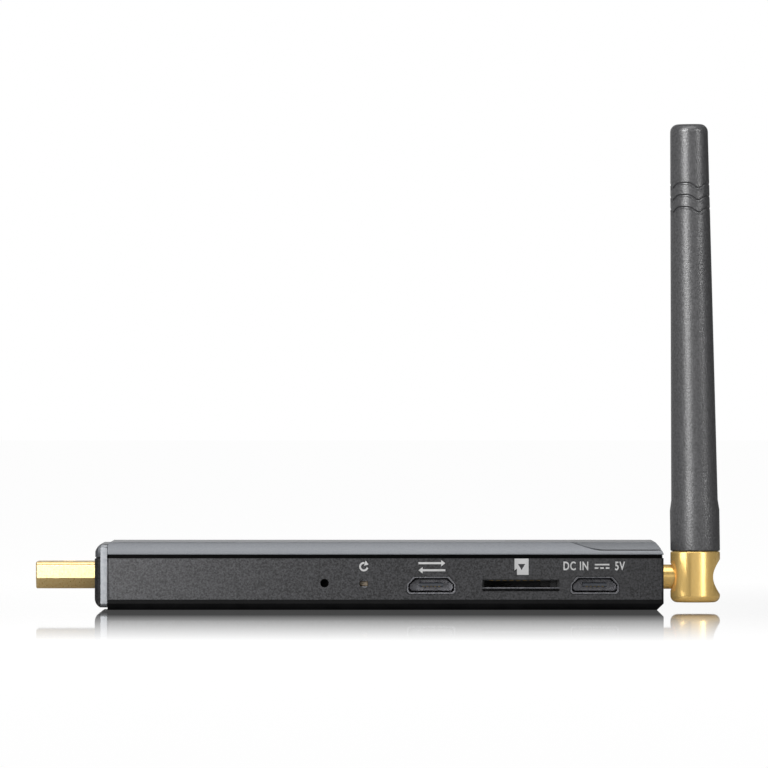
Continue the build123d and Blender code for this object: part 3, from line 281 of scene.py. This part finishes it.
WALL_PLASTIC = textured_wall()
COVER_GREY = cover_paint("gunmetal cover paint", (0.092, 0.098, 0.108), (0.126, 0.133, 0.145))
WINDOW_GREY = cover_paint("antenna window plastic", (0.064, 0.068, 0.075), (0.088, 0.093, 0.101))
UNDERSIDE_BLACK = smooth_plastic(
    "smooth black underside", (0.004, 0.004, 0.0045), (0.007, 0.007, 0.0075), 0.45, 0.55, specular=0.12
)
TRIM_SILVER = metal("satin silver trim", (0.24, 0.25, 0.265), (0.31, 0.32, 0.335), 0.34, 0.46)
GOLD_PLATE = metal(
    "bright gold plating",
    (0.95, 0.66, 0.27),
    (1.00, 0.78, 0.40),
    0.24,
    0.34,
    size=0.35 * MM,
    strength=0.06,
    metallic=0.72,
)
BRASS = metal(
    "turned gold-coloured brass",
    (0.90, 0.58, 0.18),
    (0.99, 0.70, 0.26),
    0.18,
    0.28,
    size=0.5 * MM,
    stretch=(1, 1, 8),
    strength=0.05,
    metallic=0.75,
)
SOCKET_STEEL = metal("dark nickel-plated sheet", (0.15, 0.15, 0.162), (0.25, 0.25, 0.265), 0.22, 0.34)
SCREW_STEEL = metal("zinc-plated steel", (0.42, 0.42, 0.43), (0.58, 0.58, 0.59), 0.28, 0.4)
INSULATOR = smooth_plastic("black insulator", (0.012, 0.012, 0.013), (0.022, 0.022, 0.024), 0.4, 0.55)
SLEEVE_RUBBER = antenna_rubber()
TAN_PLASTIC = smooth_plastic("tan plunger plastic", (0.36, 0.28, 0.19), (0.46, 0.37, 0.26), 0.4, 0.5)
BOARD_GREEN = smooth_plastic("green solder mask", (0.012, 0.06, 0.03), (0.02, 0.09, 0.045), 0.25, 0.35)
CHIP_BLACK = smooth_plastic("chip resin", (0.018, 0.018, 0.019), (0.03, 0.03, 0.031), 0.45, 0.6)
FERRITE = smooth_plastic("pressed ferrite", (0.06, 0.06, 0.062), (0.10, 0.10, 0.105), 0.5, 0.7)
SHIELD_TIN = metal("tinned sheet", (0.6, 0.6, 0.59), (0.75, 0.75, 0.74), 0.25, 0.4)
CERAMIC_TAN = smooth_plastic("capacitor ceramic", (0.30, 0.21, 0.13), (0.42, 0.31, 0.20), 0.4, 0.5)
PAD_GREY = smooth_plastic("soft thermal pad", (0.25, 0.28, 0.33), (0.33, 0.36, 0.41), 0.6, 0.8)
SPREADER = metal(
    "rolled aluminium sheet", (0.68, 0.69, 0.70), (0.80, 0.81, 0.82), 0.25, 0.4, 0.8 * MM, (1, 12, 1)
)
BLACK_RUBBER = smooth_plastic("soft black rubber", (0.010, 0.010, 0.010), (0.018, 0.018, 0.018), 0.6, 0.8)
PRINT_WHITE = smooth_plastic("white printed ink", (0.62, 0.62, 0.62), (0.74, 0.74, 0.74), 0.5, 0.6)
# painted shade: near-black, almost unreflecting plastic that stands in for the shadow in the gap under
# the cover
PAINTED_GAP_SHADE = smooth_plastic(
    "painted shade in the gap under the cover", (0.001, 0.001, 0.001), (0.002, 0.002, 0.002), 0.7, 0.9, specular=0.03
)
# painted shade: the microphone seen through its hole is made near-black so that the hole reads as dark
# shade
MICROPHONE_PAINTED_SHADE = smooth_plastic(
    "microphone darkened as painted shade", (0.002, 0.002, 0.002), (0.004, 0.004, 0.004), 0.7, 0.8, specular=0.05
)
TONGUE_GREY = smooth_plastic(
    "blue-grey socket tongue", (0.060, 0.066, 0.080), (0.090, 0.098, 0.115), 0.3, 0.4
)
# painted shade: the gold contacts are darkened for the deep shade inside the card slot and sockets
CONTACT_GOLD_IN_PAINTED_SHADE = metal("contact gold darkened as painted shade", (0.10, 0.075, 0.035), (0.16, 0.12, 0.06), 0.35, 0.5)

SLOT_MATERIALS = {
    "bottom_black": UNDERSIDE_BLACK,
    "case_textured": WALL_PLASTIC,
    "cover_grey": COVER_GREY,
    "window_grey": WINDOW_GREY,
    "screw_steel": SCREW_STEEL,
    "trim_silver": TRIM_SILVER,
    "gold_plate": GOLD_PLATE,
    "black_insulator": INSULATOR,
    "board_green": BOARD_GREEN,
    "chip_black": CHIP_BLACK,
    "ferrite_grey": FERRITE,
    "shield_tin": SHIELD_TIN,
    "capacitor_tan": CERAMIC_TAN,
    "pad_grey": PAD_GREY,
    "spreader_aluminium": SPREADER,
    "socket_steel": SOCKET_STEEL,
    "boot_rubber": BLACK_RUBBER,
    "cable_black": BLACK_RUBBER,
    "brass_polished": BRASS,
    "antenna_rubber": SLEEVE_RUBBER,
    "plunger_tan": TAN_PLASTIC,
}

SLOT_OF_NODE = {entry["node"]: entry["material_slot"] for entry in frame["record"]["subparts"]}
BODY_OF_NODE = {
    node: body for body, nodes in frame["record"]["behaviour"]["bodies"].items() for node in nodes
}

# single pieces whose material differs from the rest of their slot: the blue-grey tongues, and the
# microphone and contacts, which are darkened as painted shade
NODE_MATERIALS = {
    "usb_data_tongue": TONGUE_GREY,
    "usb_power_tongue": TONGUE_GREY,
    "microphone": MICROPHONE_PAINTED_SHADE,
    "card_contacts": CONTACT_GOLD_IN_PAINTED_SHADE,
    "usb_data_contacts": CONTACT_GOLD_IN_PAINTED_SHADE,
    "usb_power_contacts": CONTACT_GOLD_IN_PAINTED_SHADE,
}

for node, obj in frame["nodes"].items():
    for place in obj.material_slots:
        place.material = NODE_MATERIALS.get(node, SLOT_MATERIALS[SLOT_OF_NODE[node]])


# ---------------------------------------------------------------- finished casing pieces


def even_shading(piece, angle):
    """Smooth shading that keeps edges sharper than angle and leaves large flat faces flat."""
    select_only(piece)
    bpy.ops.object.shade_smooth_by_angle(angle=math.radians(angle))
    apply_modifier(piece, "WEIGHTED_NORMAL", mode="FACE_AREA", weight=100, keep_sharp=True)


def finish_casting(node, name, edge):
    """A copy of a CAD piece with merged faces and fine rounded edges, which stands in its place."""
    piece = bpy.data.objects.new(name, frame["nodes"][node].data.copy())
    bpy.context.scene.collection.objects.link(piece)
    select_only(piece)
    bpy.ops.object.mode_set(mode="EDIT")
    bpy.ops.mesh.select_all(action="SELECT")
    bpy.ops.mesh.remove_doubles(threshold=SAME_PLACE)
    bpy.ops.mesh.dissolve_limited(angle_limit=math.radians(FLAT_ANGLE))
    bpy.ops.object.mode_set(mode="OBJECT")
    if edge:
        apply_modifier(
            piece,
            "BEVEL",
            width=edge,
            segments=2,
            limit_method="ANGLE",
            angle_limit=math.radians(SHARP_EDGE),
            harden_normals=False,
        )
    even_shading(piece, SHARP_EDGE)
    slot = SLOT_OF_NODE[node]
    finished(piece, BODY_OF_NODE[node], SLOT_MATERIALS[slot])
    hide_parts(node)
    return piece


cover_pieces = [
    finish_casting("top_cover", "top_cover_painted", 0.06 * MM),
    finish_casting("antenna_window", "antenna_window_panel", 0.05 * MM),
]
side_wall = finish_casting("side_frame", "side_frame_moulding", 0.05 * MM)
finish_casting("bottom_cover", "bottom_cover_moulding", 0.06 * MM)
finish_casting("trim_ring", "trim_ring_polished", 0.08 * MM)
finish_casting("nose_lower", "nose_lower_moulding", 0.06 * MM)
finish_casting("nose_upper", "nose_upper_painted", 0.05 * MM)
finish_casting("hdmi_shell", "hdmi_shell_plated", 0.06 * MM)
finish_casting("usb_data_shell", "usb_data_shell_plated", 0.04 * MM)
finish_casting("usb_power_shell", "usb_power_shell_plated", 0.04 * MM)
brass_pieces = [
    finish_casting("knuckle", "knuckle_turned", 0.05 * MM),
    finish_casting("knuckle_plug", "knuckle_plug_turned", 0.05 * MM),
    finish_casting("pivot_pin", "pivot_pin_turned", 0.05 * MM),
]

# the card carriage's return spring gets a mesh of its own (the real spring shortens towards its back end
# as a card goes in)
card_spring = finish_casting("card_spring", "card_return_spring", 0)
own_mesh(card_spring)

# the gap under the cover is made near-black as painted shade, for the shadow that falls in it
side_wall.data.materials.append(PAINTED_GAP_SHADE)
for face in side_wall.data.polygons:
    if face.center.z > WALL_TOP + 0.01 * MM:
        face.material_index = 1


# ---------------------------------------------------------------- antenna sleeve


def edit(piece):
    """Go into edit mode on a piece, picking faces, with nothing selected."""
    select_only(piece)
    bpy.ops.object.mode_set(mode="EDIT")
    bpy.ops.mesh.select_mode(type="FACE")
    bpy.ops.mesh.select_all(action="DESELECT")


def select_faces(piece, test):
    """In edit mode: select the faces whose centre and normal pass the test, and nothing else."""
    bpy.ops.mesh.select_all(action="DESELECT")
    bpy.ops.object.mode_set(mode="OBJECT")
    for face in piece.data.polygons:
        face.select = test(face.center, face.normal)
    bpy.ops.object.mode_set(mode="EDIT")


def draw_up(piece, height, radius, last_height, last_radius):
    """Extrude the top face to a new height and scale it to a new radius."""
    rise = height - last_height
    ratio = radius / last_radius
    bpy.ops.mesh.extrude_region_move(TRANSFORM_OT_translate={"value": (0, 0, rise)})
    bpy.ops.transform.resize(value=(ratio, ratio, 1), center_override=(0, 0, height))


def groove_dip(angle):
    """How far a groove hangs below its crest at an angle from the front towards +X."""
    return GROOVE_DIP * ((1 + math.cos(GROOVE_WAVES * (angle - GROOVE_PHASE))) / 2) ** 2


def whip_radius(height):
    """Radius of the taper at a height along the whip."""
    share = (height - TAPER_START[0]) / (TAPER_END[0] - TAPER_START[0])
    return TAPER_START[1] + share * (TAPER_END[1] - TAPER_START[1])


def groove_cutter(crest):
    """A wavy round wire that is cut out of the sleeve, as a mesh about the whip's axis."""
    wire = bpy.data.curves.new("groove_wire", "CURVE")
    wire.dimensions = "3D"
    wire.bevel_depth = GROOVE_WIDTH
    wire.bevel_resolution = 4
    wire.resolution_u = 1
    ring = wire.splines.new("POLY")
    ring.points.add(GROOVE_POINTS - 1)
    ring.use_cyclic_u = True
    for index, point in enumerate(ring.points):
        angle = math.tau * index / GROOVE_POINTS
        height = crest - groove_dip(angle)
        radius = whip_radius(height)
        point.co = (radius * math.sin(angle), -radius * math.cos(angle), height, 1)
    holder = bpy.data.objects.new("groove_wire", wire)
    bpy.context.scene.collection.objects.link(holder)
    select_only(holder)
    bpy.ops.object.convert(target="MESH")
    return bpy.context.active_object


def antenna_sleeve():
    """The whole whip: collar, taper, rounded tip with its gate dimple, and three wavy grip grooves."""
    bpy.ops.object.select_all(action="DESELECT")
    bpy.ops.mesh.primitive_cylinder_add(
        vertices=WHIP_SIDES,
        radius=COLLAR_RADIUS,
        depth=COLLAR_TOP + SLEEVE_OVERLAP,
        location=(0, 0, (COLLAR_TOP - SLEEVE_OVERLAP) / 2),
    )
    sleeve = bpy.context.active_object
    sleeve.name = "antenna_sleeve_moulded"
    bpy.ops.object.transform_apply(location=True)
    edit(sleeve)
    select_faces(sleeve, lambda centre, normal: normal.z > 0.9)
    draw_up(sleeve, *TAPER_START, COLLAR_TOP, COLLAR_RADIUS)
    height, radius = TAPER_START
    for step in range(1, TAPER_STEPS + 1):
        next_height = TAPER_START[0] + (TAPER_END[0] - TAPER_START[0]) * step / TAPER_STEPS
        draw_up(sleeve, next_height, whip_radius(next_height), height, radius)
        height, radius = next_height, whip_radius(next_height)
    bpy.ops.mesh.region_to_loop()
    bpy.ops.mesh.bevel(offset=TIP_ROUND, segments=8, affect="EDGES", profile=0.5)
    # the gate dimple
    select_faces(sleeve, lambda centre, normal: normal.z > 0.99 and centre.z > TAPER_END[0] - 0.01 * MM)
    bpy.ops.mesh.inset(thickness=DIMPLE_RIM)
    bpy.ops.mesh.inset(thickness=DIMPLE_SLOPE, depth=-DIMPLE_DEPTH)
    bpy.ops.object.mode_set(mode="OBJECT")

    for crest in GROOVE_CRESTS:
        cutter = groove_cutter(crest)
        apply_modifier(sleeve, "BOOLEAN", object=cutter, operation="DIFFERENCE", solver="EXACT")
        bpy.data.objects.remove(cutter, do_unlink=True)

    sleeve.rotation_euler = (0, -WHIP_LEAN, 0)
    sleeve.location = (WHIP_X, 0, SLEEVE_FOOT)
    select_only(sleeve)
    bpy.ops.object.transform_apply(location=True, rotation=True)
    edit(sleeve)
    bpy.ops.mesh.select_all(action="SELECT")
    bpy.ops.mesh.bisect(
        plane_co=(WHIP_X, 0, SLEEVE_FOOT - SLEEVE_GAP),
        plane_no=(0, 0, -1),
        clear_outer=True,
        use_fill=True,
    )
    select_faces(sleeve, lambda centre, normal: normal.z < -0.9 and centre.z < SLEEVE_FOOT)
    bpy.ops.mesh.region_to_loop()
    bpy.ops.mesh.bevel(offset=FOOT_ROUND, segments=3, affect="EDGES")
    bpy.ops.object.mode_set(mode="OBJECT")
    even_shading(sleeve, SLEEVE_SHARP_EDGE)
    finished(sleeve, BODY_OF_NODE["antenna_sleeve"], SLEEVE_RUBBER)
    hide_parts("antenna_sleeve")
    return sleeve


whip_sleeve = antenna_sleeve()


# ---------------------------------------------------------------- printed marks


def ink(name, outlines, middle_x):
    """A printed mark on the socket wall: closed outlines in millimetres about its own middle."""
    shape = bpy.data.curves.new(name, "CURVE")
    shape.dimensions = "2D"
    shape.fill_mode = "BOTH"
    shape.extrude = (INK_THICKNESS + INK_DEPTH) / 2
    for outline in outlines:
        loop = shape.splines.new("POLY")
        loop.points.add(len(outline) - 1)
        loop.use_cyclic_u = True
        for point, (x, z) in zip(loop.points, outline):
            point.co = (x * MM, z * MM, 0, 1)
    mark = bpy.data.objects.new(name, shape)
    bpy.context.scene.collection.objects.link(mark)
    return set_on_wall(mark, middle_x, MARK_HEIGHT)


def set_on_wall(mark, middle_x, height):
    """Turn a flat mark into a mesh, stand it on the socket wall and finish it in white ink."""
    select_only(mark)
    bpy.ops.object.convert(target="MESH")
    mark = bpy.context.active_object
    mark.rotation_euler = (math.radians(90), 0, 0)
    mark.location = (middle_x, WALL_FACE + (INK_DEPTH - INK_THICKNESS) / 2, height)
    bpy.ops.object.transform_apply(location=True, rotation=True)
    edit(mark)
    bpy.ops.mesh.select_all(action="SELECT")
    bpy.ops.mesh.remove_doubles(threshold=0.0005 * MM)
    bpy.ops.mesh.normals_make_consistent(inside=False)
    bpy.ops.object.mode_set(mode="OBJECT")
    return finished(mark, BODY_OF_NODE["side_frame"], PRINT_WHITE)


def arrow(tail_x, tip_x, z):
    """Outline of a straight arrow along X."""
    toward = 1 if tip_x > tail_x else -1
    neck = tip_x - toward * ARROW_HEAD * 1.3
    half = ARROW_STROKE / 2
    return [
        (tail_x, z - half),
        (neck, z - half),
        (neck, z - ARROW_HEAD),
        (tip_x, z),
        (neck, z + ARROW_HEAD),
        (neck, z + half),
        (tail_x, z + half),
    ]


def arc(radius, start, end):
    """Points along an arc about the mark's middle; angles in degrees from +X."""
    turn = [math.radians(start + (end - start) * step / ARC_STEPS) for step in range(ARC_STEPS + 1)]
    return [(radius * math.cos(angle), radius * math.sin(angle)) for angle in turn]


def bar(left, right, low, high):
    """Outline of an upright rectangle."""
    return [(left, low), (right, low), (right, high), (left, high)]


def lettering(name, words, middle_x):
    """Plain capitals or figures."""
    letters = bpy.data.curves.new(name, "FONT")
    letters.body = words
    letters.align_x = "CENTER"
    letters.align_y = "CENTER"
    letters.size = LETTER_SIZE
    letters.space_character = LETTER_SPACING
    letters.extrude = (INK_THICKNESS + INK_DEPTH) / 2
    letters.offset = LETTER_BOLDNESS
    letters.resolution_u = 4
    mark = bpy.data.objects.new(name, letters)
    mark.scale = (LETTER_WIDTH, 1, 1)
    bpy.context.scene.collection.objects.link(mark)
    select_only(mark)
    bpy.ops.object.convert(target="MESH")
    mark = bpy.context.active_object
    bpy.ops.object.transform_apply(scale=True)
    return set_on_wall(mark, middle_x, LETTER_HEIGHT)


# reset: a round arrow
reset_ring = arc(0.76, 80, 345) + list(reversed(arc(0.46, 80, 345)))
reset_head = [(0.06, 0.17), (0.76, 0.36), (0.30, 1.00)]
ink("mark_reset", [reset_ring, reset_head], RESET_X)

# data: two arrows, out and in
ink("mark_data", [arrow(-2.2, 2.2, 0.58), arrow(2.2, -2.2, -0.58)], DATA_SOCKET_X + 0.1 * MM)

# card: a card with a cut corner and a triangle that points into the slot
CARD_OUTLINE = [(-0.75, -1.33), (1.15, -1.33), (1.15, 1.33), (-1.15, 1.33), (-1.15, -0.6), (-0.75, -0.3)]
CARD_ARROW = [(-0.6, 0.45), (0.6, 0.45), (0.0, -0.55)]
ink("mark_card", [CARD_OUTLINE, CARD_ARROW], CARD_SLOT_X + 0.1 * MM)

# power: what the socket takes
lettering("mark_power_kind", "DC IN", POWER_SOCKET_X - 3.1 * MM)
lettering("mark_power_volts", "5V", POWER_SOCKET_X + 4.1 * MM)
direct_current = [bar(-1.2, 1.2, 0.22, 0.47)] + [bar(x, x + 0.6, -0.35, -0.10) for x in (-1.2, -0.3, 0.6)]
ink("mark_direct_current", direct_current, POWER_SOCKET_X + 1.2 * MM)


# ---------------------------------------------------------------- stage

# Brightness of the surround at eye level, by the angle from -Y towards +X, in degrees.
SURROUND_LEVELS = (
    (-180, 1.00),
    (-150, 0.60),
    (-122, 0.42),
    (-98, 0.40),
    (-65, 0.50),
    (-30, 0.50),
    (-8, 0.62),
    (8, 0.80),
    (22, 1.05),
    (34, 0.80),
    (52, 0.36),
    (72, 0.20),
    (95, 0.12),
    (150, 0.10),
    (168, 0.50),
    (180, 1.00),
)
# height as a sine, share of the cards there, brightness of the sky there
SKY_LEVELS = (
    (0.0, 1.0, 0.0),
    (0.2, 1.0, 0.0),
    (0.42, 0.0, 0.16),
    (0.72, 0.0, 0.16),
    (0.86, 0.0, 0.42),
    (1.0, 0.0, 0.32),
)


def link(tree, source, target):
    """Join two sockets."""
    tree.links.new(source, target)


def level_ramp(tree, value, levels):
    """A ramp from (place, level) pairs, read at value."""
    ramp = tree.nodes.new("ShaderNodeValToRGB")
    stops = ramp.color_ramp.elements
    while len(stops) < len(levels):
        stops.new(0.5)
    for stop, (place, level) in zip(stops, levels):
        stop.position = place
        stop.color = (level, level, level, 1)
    link(tree, value, ramp.inputs["Fac"])
    return ramp.outputs["Color"]


def studio_world():
    """A white backdrop for the camera; for the object, white and dark cards round a grey tent."""
    world = bpy.data.worlds.new("studio")
    bpy.context.scene.world = world
    world.use_nodes = True
    tree = world.node_tree
    nodes = tree.nodes
    place = nodes.new("ShaderNodeTexCoord")
    split = nodes.new("ShaderNodeSeparateXYZ")
    link(tree, place.outputs["Generated"], split.inputs[0])

    front = nodes.new("ShaderNodeMath")
    front.operation = "MULTIPLY"
    front.inputs[1].default_value = -1.0
    link(tree, split.outputs["Y"], front.inputs[0])
    angle = nodes.new("ShaderNodeMath")
    angle.operation = "ARCTAN2"
    link(tree, split.outputs["X"], angle.inputs[0])
    link(tree, front.outputs[0], angle.inputs[1])
    turn = nodes.new("ShaderNodeMapRange")
    turn.inputs["From Min"].default_value = -math.pi
    turn.inputs["From Max"].default_value = math.pi
    link(tree, angle.outputs[0], turn.inputs["Value"])
    card_levels = [(degrees / 360 + 0.5, level) for degrees, level in SURROUND_LEVELS]
    cards = level_ramp(tree, turn.outputs["Result"], card_levels)

    height = split.outputs["Z"]
    share_of_cards = level_ramp(tree, height, [(sine, share) for sine, share, level in SKY_LEVELS])
    sky = level_ramp(tree, height, [(sine, level) for sine, share, level in SKY_LEVELS])
    tent = nodes.new("ShaderNodeMix")
    tent.data_type = "RGBA"
    link(tree, share_of_cards, tent.inputs["Factor"])
    link(tree, sky, tent.inputs["A"])
    link(tree, cards, tent.inputs["B"])

    surround = nodes["Background"]
    link(tree, tent.outputs["Result"], surround.inputs["Color"])
    backdrop = nodes.new("ShaderNodeBackground")
    backdrop.inputs["Color"].default_value = (1, 1, 1, 1)
    seen = nodes.new("ShaderNodeLightPath")
    mix = nodes.new("ShaderNodeMixShader")
    link(tree, seen.outputs["Is Camera Ray"], mix.inputs[0])
    link(tree, surround.outputs[0], mix.inputs[1])
    link(tree, backdrop.outputs[0], mix.inputs[2])
    link(tree, mix.outputs[0], nodes["World Output"].inputs["Surface"])


def softbox(name, place, target, size, watts, only=(), but=()):
    """An oblong area light at place that faces target.

    It lights only some pieces, or all but some, where they are named.
    """
    light = bpy.data.lights.new(name, "AREA")
    light.shape = "RECTANGLE"
    light.size, light.size_y = size
    light.energy = watts
    lamp = bpy.data.objects.new(name, light)
    bpy.context.scene.collection.objects.link(lamp)
    lamp.location = place
    lamp.rotation_euler = (Vector(target) - Vector(place)).to_track_quat("-Z", "Y").to_euler()
    lamp.visible_camera = False
    if only or but:
        lit = bpy.data.collections.new(name + " lights")
        for piece in list(only) + list(but):
            lit.objects.link(piece)
        for entry in lit.collection_objects:
            entry.light_linking.link_state = "INCLUDE" if only else "EXCLUDE"
        lamp.light_linking.receiver_collection = lit
        if only:
            lamp.light_linking.blocker_collection = lit


def brass_strip(name, middle, degrees, width, watts):
    """A tall softbox for the brass alone, at an angle round middle from the front towards +X."""
    angle = math.radians(degrees)
    place = (middle[0] + STRIP_DISTANCE * math.sin(angle), -STRIP_DISTANCE * math.cos(angle), middle[2])
    softbox(name, place, middle, (width, STRIP_HEIGHT), watts, only=brass_pieces)


def glossy_floor():
    """A white floor that mirrors the object close by and turns matt further away.

    The object itself sees it as a plain mid-grey floor.
    """
    bpy.ops.object.select_all(action="DESELECT")
    bpy.ops.mesh.primitive_plane_add(size=FLOOR_SIZE, location=(0, 0, -FLOOR_DROP))
    floor = bpy.context.active_object
    floor.name = "floor"
    material = bpy.data.materials.new("pale glossy floor")
    material.use_nodes = True
    tree = material.node_tree
    nodes = tree.nodes
    nodes.remove(nodes["Principled BSDF"])

    place = nodes.new("ShaderNodeTexCoord")
    outline = nodes.new("ShaderNodeVectorMath")
    outline.operation = "ABSOLUTE"
    link(tree, place.outputs["Object"], outline.inputs[0])
    beyond = nodes.new("ShaderNodeVectorMath")
    beyond.operation = "SUBTRACT"
    beyond.inputs[1].default_value = (cad_box[1].x, cad_box[1].y, 0)
    link(tree, outline.outputs[0], beyond.inputs[0])
    clear = nodes.new("ShaderNodeVectorMath")
    clear.operation = "MAXIMUM"
    link(tree, beyond.outputs[0], clear.inputs[0])
    distance = nodes.new("ShaderNodeVectorMath")
    distance.operation = "LENGTH"
    link(tree, clear.outputs[0], distance.inputs[0])
    fade = nodes.new("ShaderNodeMapRange")
    fade.inputs["From Min"].default_value = MIRROR_FULL
    fade.inputs["From Max"].default_value = MIRROR_GONE
    fade.inputs["To Min"].default_value = MIRROR_SHARE
    fade.inputs["To Max"].default_value = 0.0
    link(tree, distance.outputs["Value"], fade.inputs["Value"])

    fresnel = nodes.new("ShaderNodeFresnel")
    fresnel.inputs["IOR"].default_value = MIRROR_INDEX
    share = nodes.new("ShaderNodeMath")
    share.operation = "MULTIPLY"
    link(tree, fade.outputs["Result"], share.inputs[0])
    link(tree, fresnel.outputs[0], share.inputs[1])

    matt = nodes.new("ShaderNodeBsdfDiffuse")
    matt.inputs["Color"].default_value = FLOOR_MATT
    glow = nodes.new("ShaderNodeEmission")
    glow.inputs["Strength"].default_value = FLOOR_GLOW
    white = nodes.new("ShaderNodeAddShader")
    link(tree, matt.outputs[0], white.inputs[0])
    link(tree, glow.outputs[0], white.inputs[1])
    mirror = nodes.new("ShaderNodeBsdfGlossy")
    mirror.inputs["Roughness"].default_value = MIRROR_ROUGHNESS
    mirror.inputs["Color"].default_value = (1, 1, 1, 1)
    polished = nodes.new("ShaderNodeMixShader")
    link(tree, share.outputs[0], polished.inputs[0])
    link(tree, white.outputs[0], polished.inputs[1])
    link(tree, mirror.outputs[0], polished.inputs[2])

    shade = nodes.new("ShaderNodeBsdfDiffuse")
    shade.inputs["Color"].default_value = FLOOR_SHADE
    seen = nodes.new("ShaderNodeLightPath")
    surface = nodes.new("ShaderNodeMixShader")
    link(tree, seen.outputs["Is Camera Ray"], surface.inputs[0])
    link(tree, shade.outputs[0], surface.inputs[1])
    link(tree, polished.outputs[0], surface.inputs[2])
    link(tree, surface.outputs[0], nodes["Material Output"].inputs["Surface"])
    floor.data.materials.append(material)


def level_camera():
    """A long lens at a little above the object's height, looking straight at the sockets."""
    camera = bpy.data.cameras.new("camera")
    camera.lens = CAMERA_LENS
    camera.clip_start, camera.clip_end = 0.1, 20
    stand = bpy.data.objects.new("camera", camera)
    bpy.context.scene.collection.objects.link(stand)
    stand.location = (CAMERA_SIDE, WALL_FACE - CAMERA_DISTANCE, CAMERA_HEIGHT)
    stand.rotation_euler = (math.radians(90), 0, 0)
    bpy.context.scene.camera = stand


level_camera()
studio_world()
glossy_floor()
softbox("overhead softbox", (0.05, -0.25, 0.8), (0, 0, 0), (0.8, 0.6), 3.6)
wall_left = (-0.05, 0, 0.005)
wall_right = (0.034, 0, 0.005)
whip_foot = (0.052, 0, 0.04)
dark_to_card = brass_pieces + cover_pieces
softbox("front left card", (-0.11, -0.32, 0.06), wall_left, (0.12, 0.12), 0.36, but=dark_to_card)
softbox("wall wash left", (-0.070, -0.085, 0.025), wall_left, (0.03, 0.03), 0.10, only=[side_wall])
softbox("wall wash right", (0.034, -0.06, 0.010), wall_right, (0.02, 0.02), 0.004, only=[side_wall])
softbox("cover lip card", (0, -0.45, 0.35), (0, 0, 0.01), (1.2, 0.6), 5.2, only=cover_pieces)
softbox("antenna key", (-0.17, -0.40, 0.28), whip_foot, (0.15, 0.25), 4.0, only=[whip_sleeve])
softbox("antenna edge", (0.42, -0.24, 0.22), whip_foot, (0.08, 0.25), 1.0, only=[whip_sleeve])
pivot = (WHIP_X, 0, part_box("pivot_pin")[0].z)
brass_strip("brass left panel", pivot, -60, 0.16, 0.9)
brass_strip("brass highlight", pivot, 36, 0.09, 0.50)
bpy.context.scene.view_settings.view_transform = "Standard"
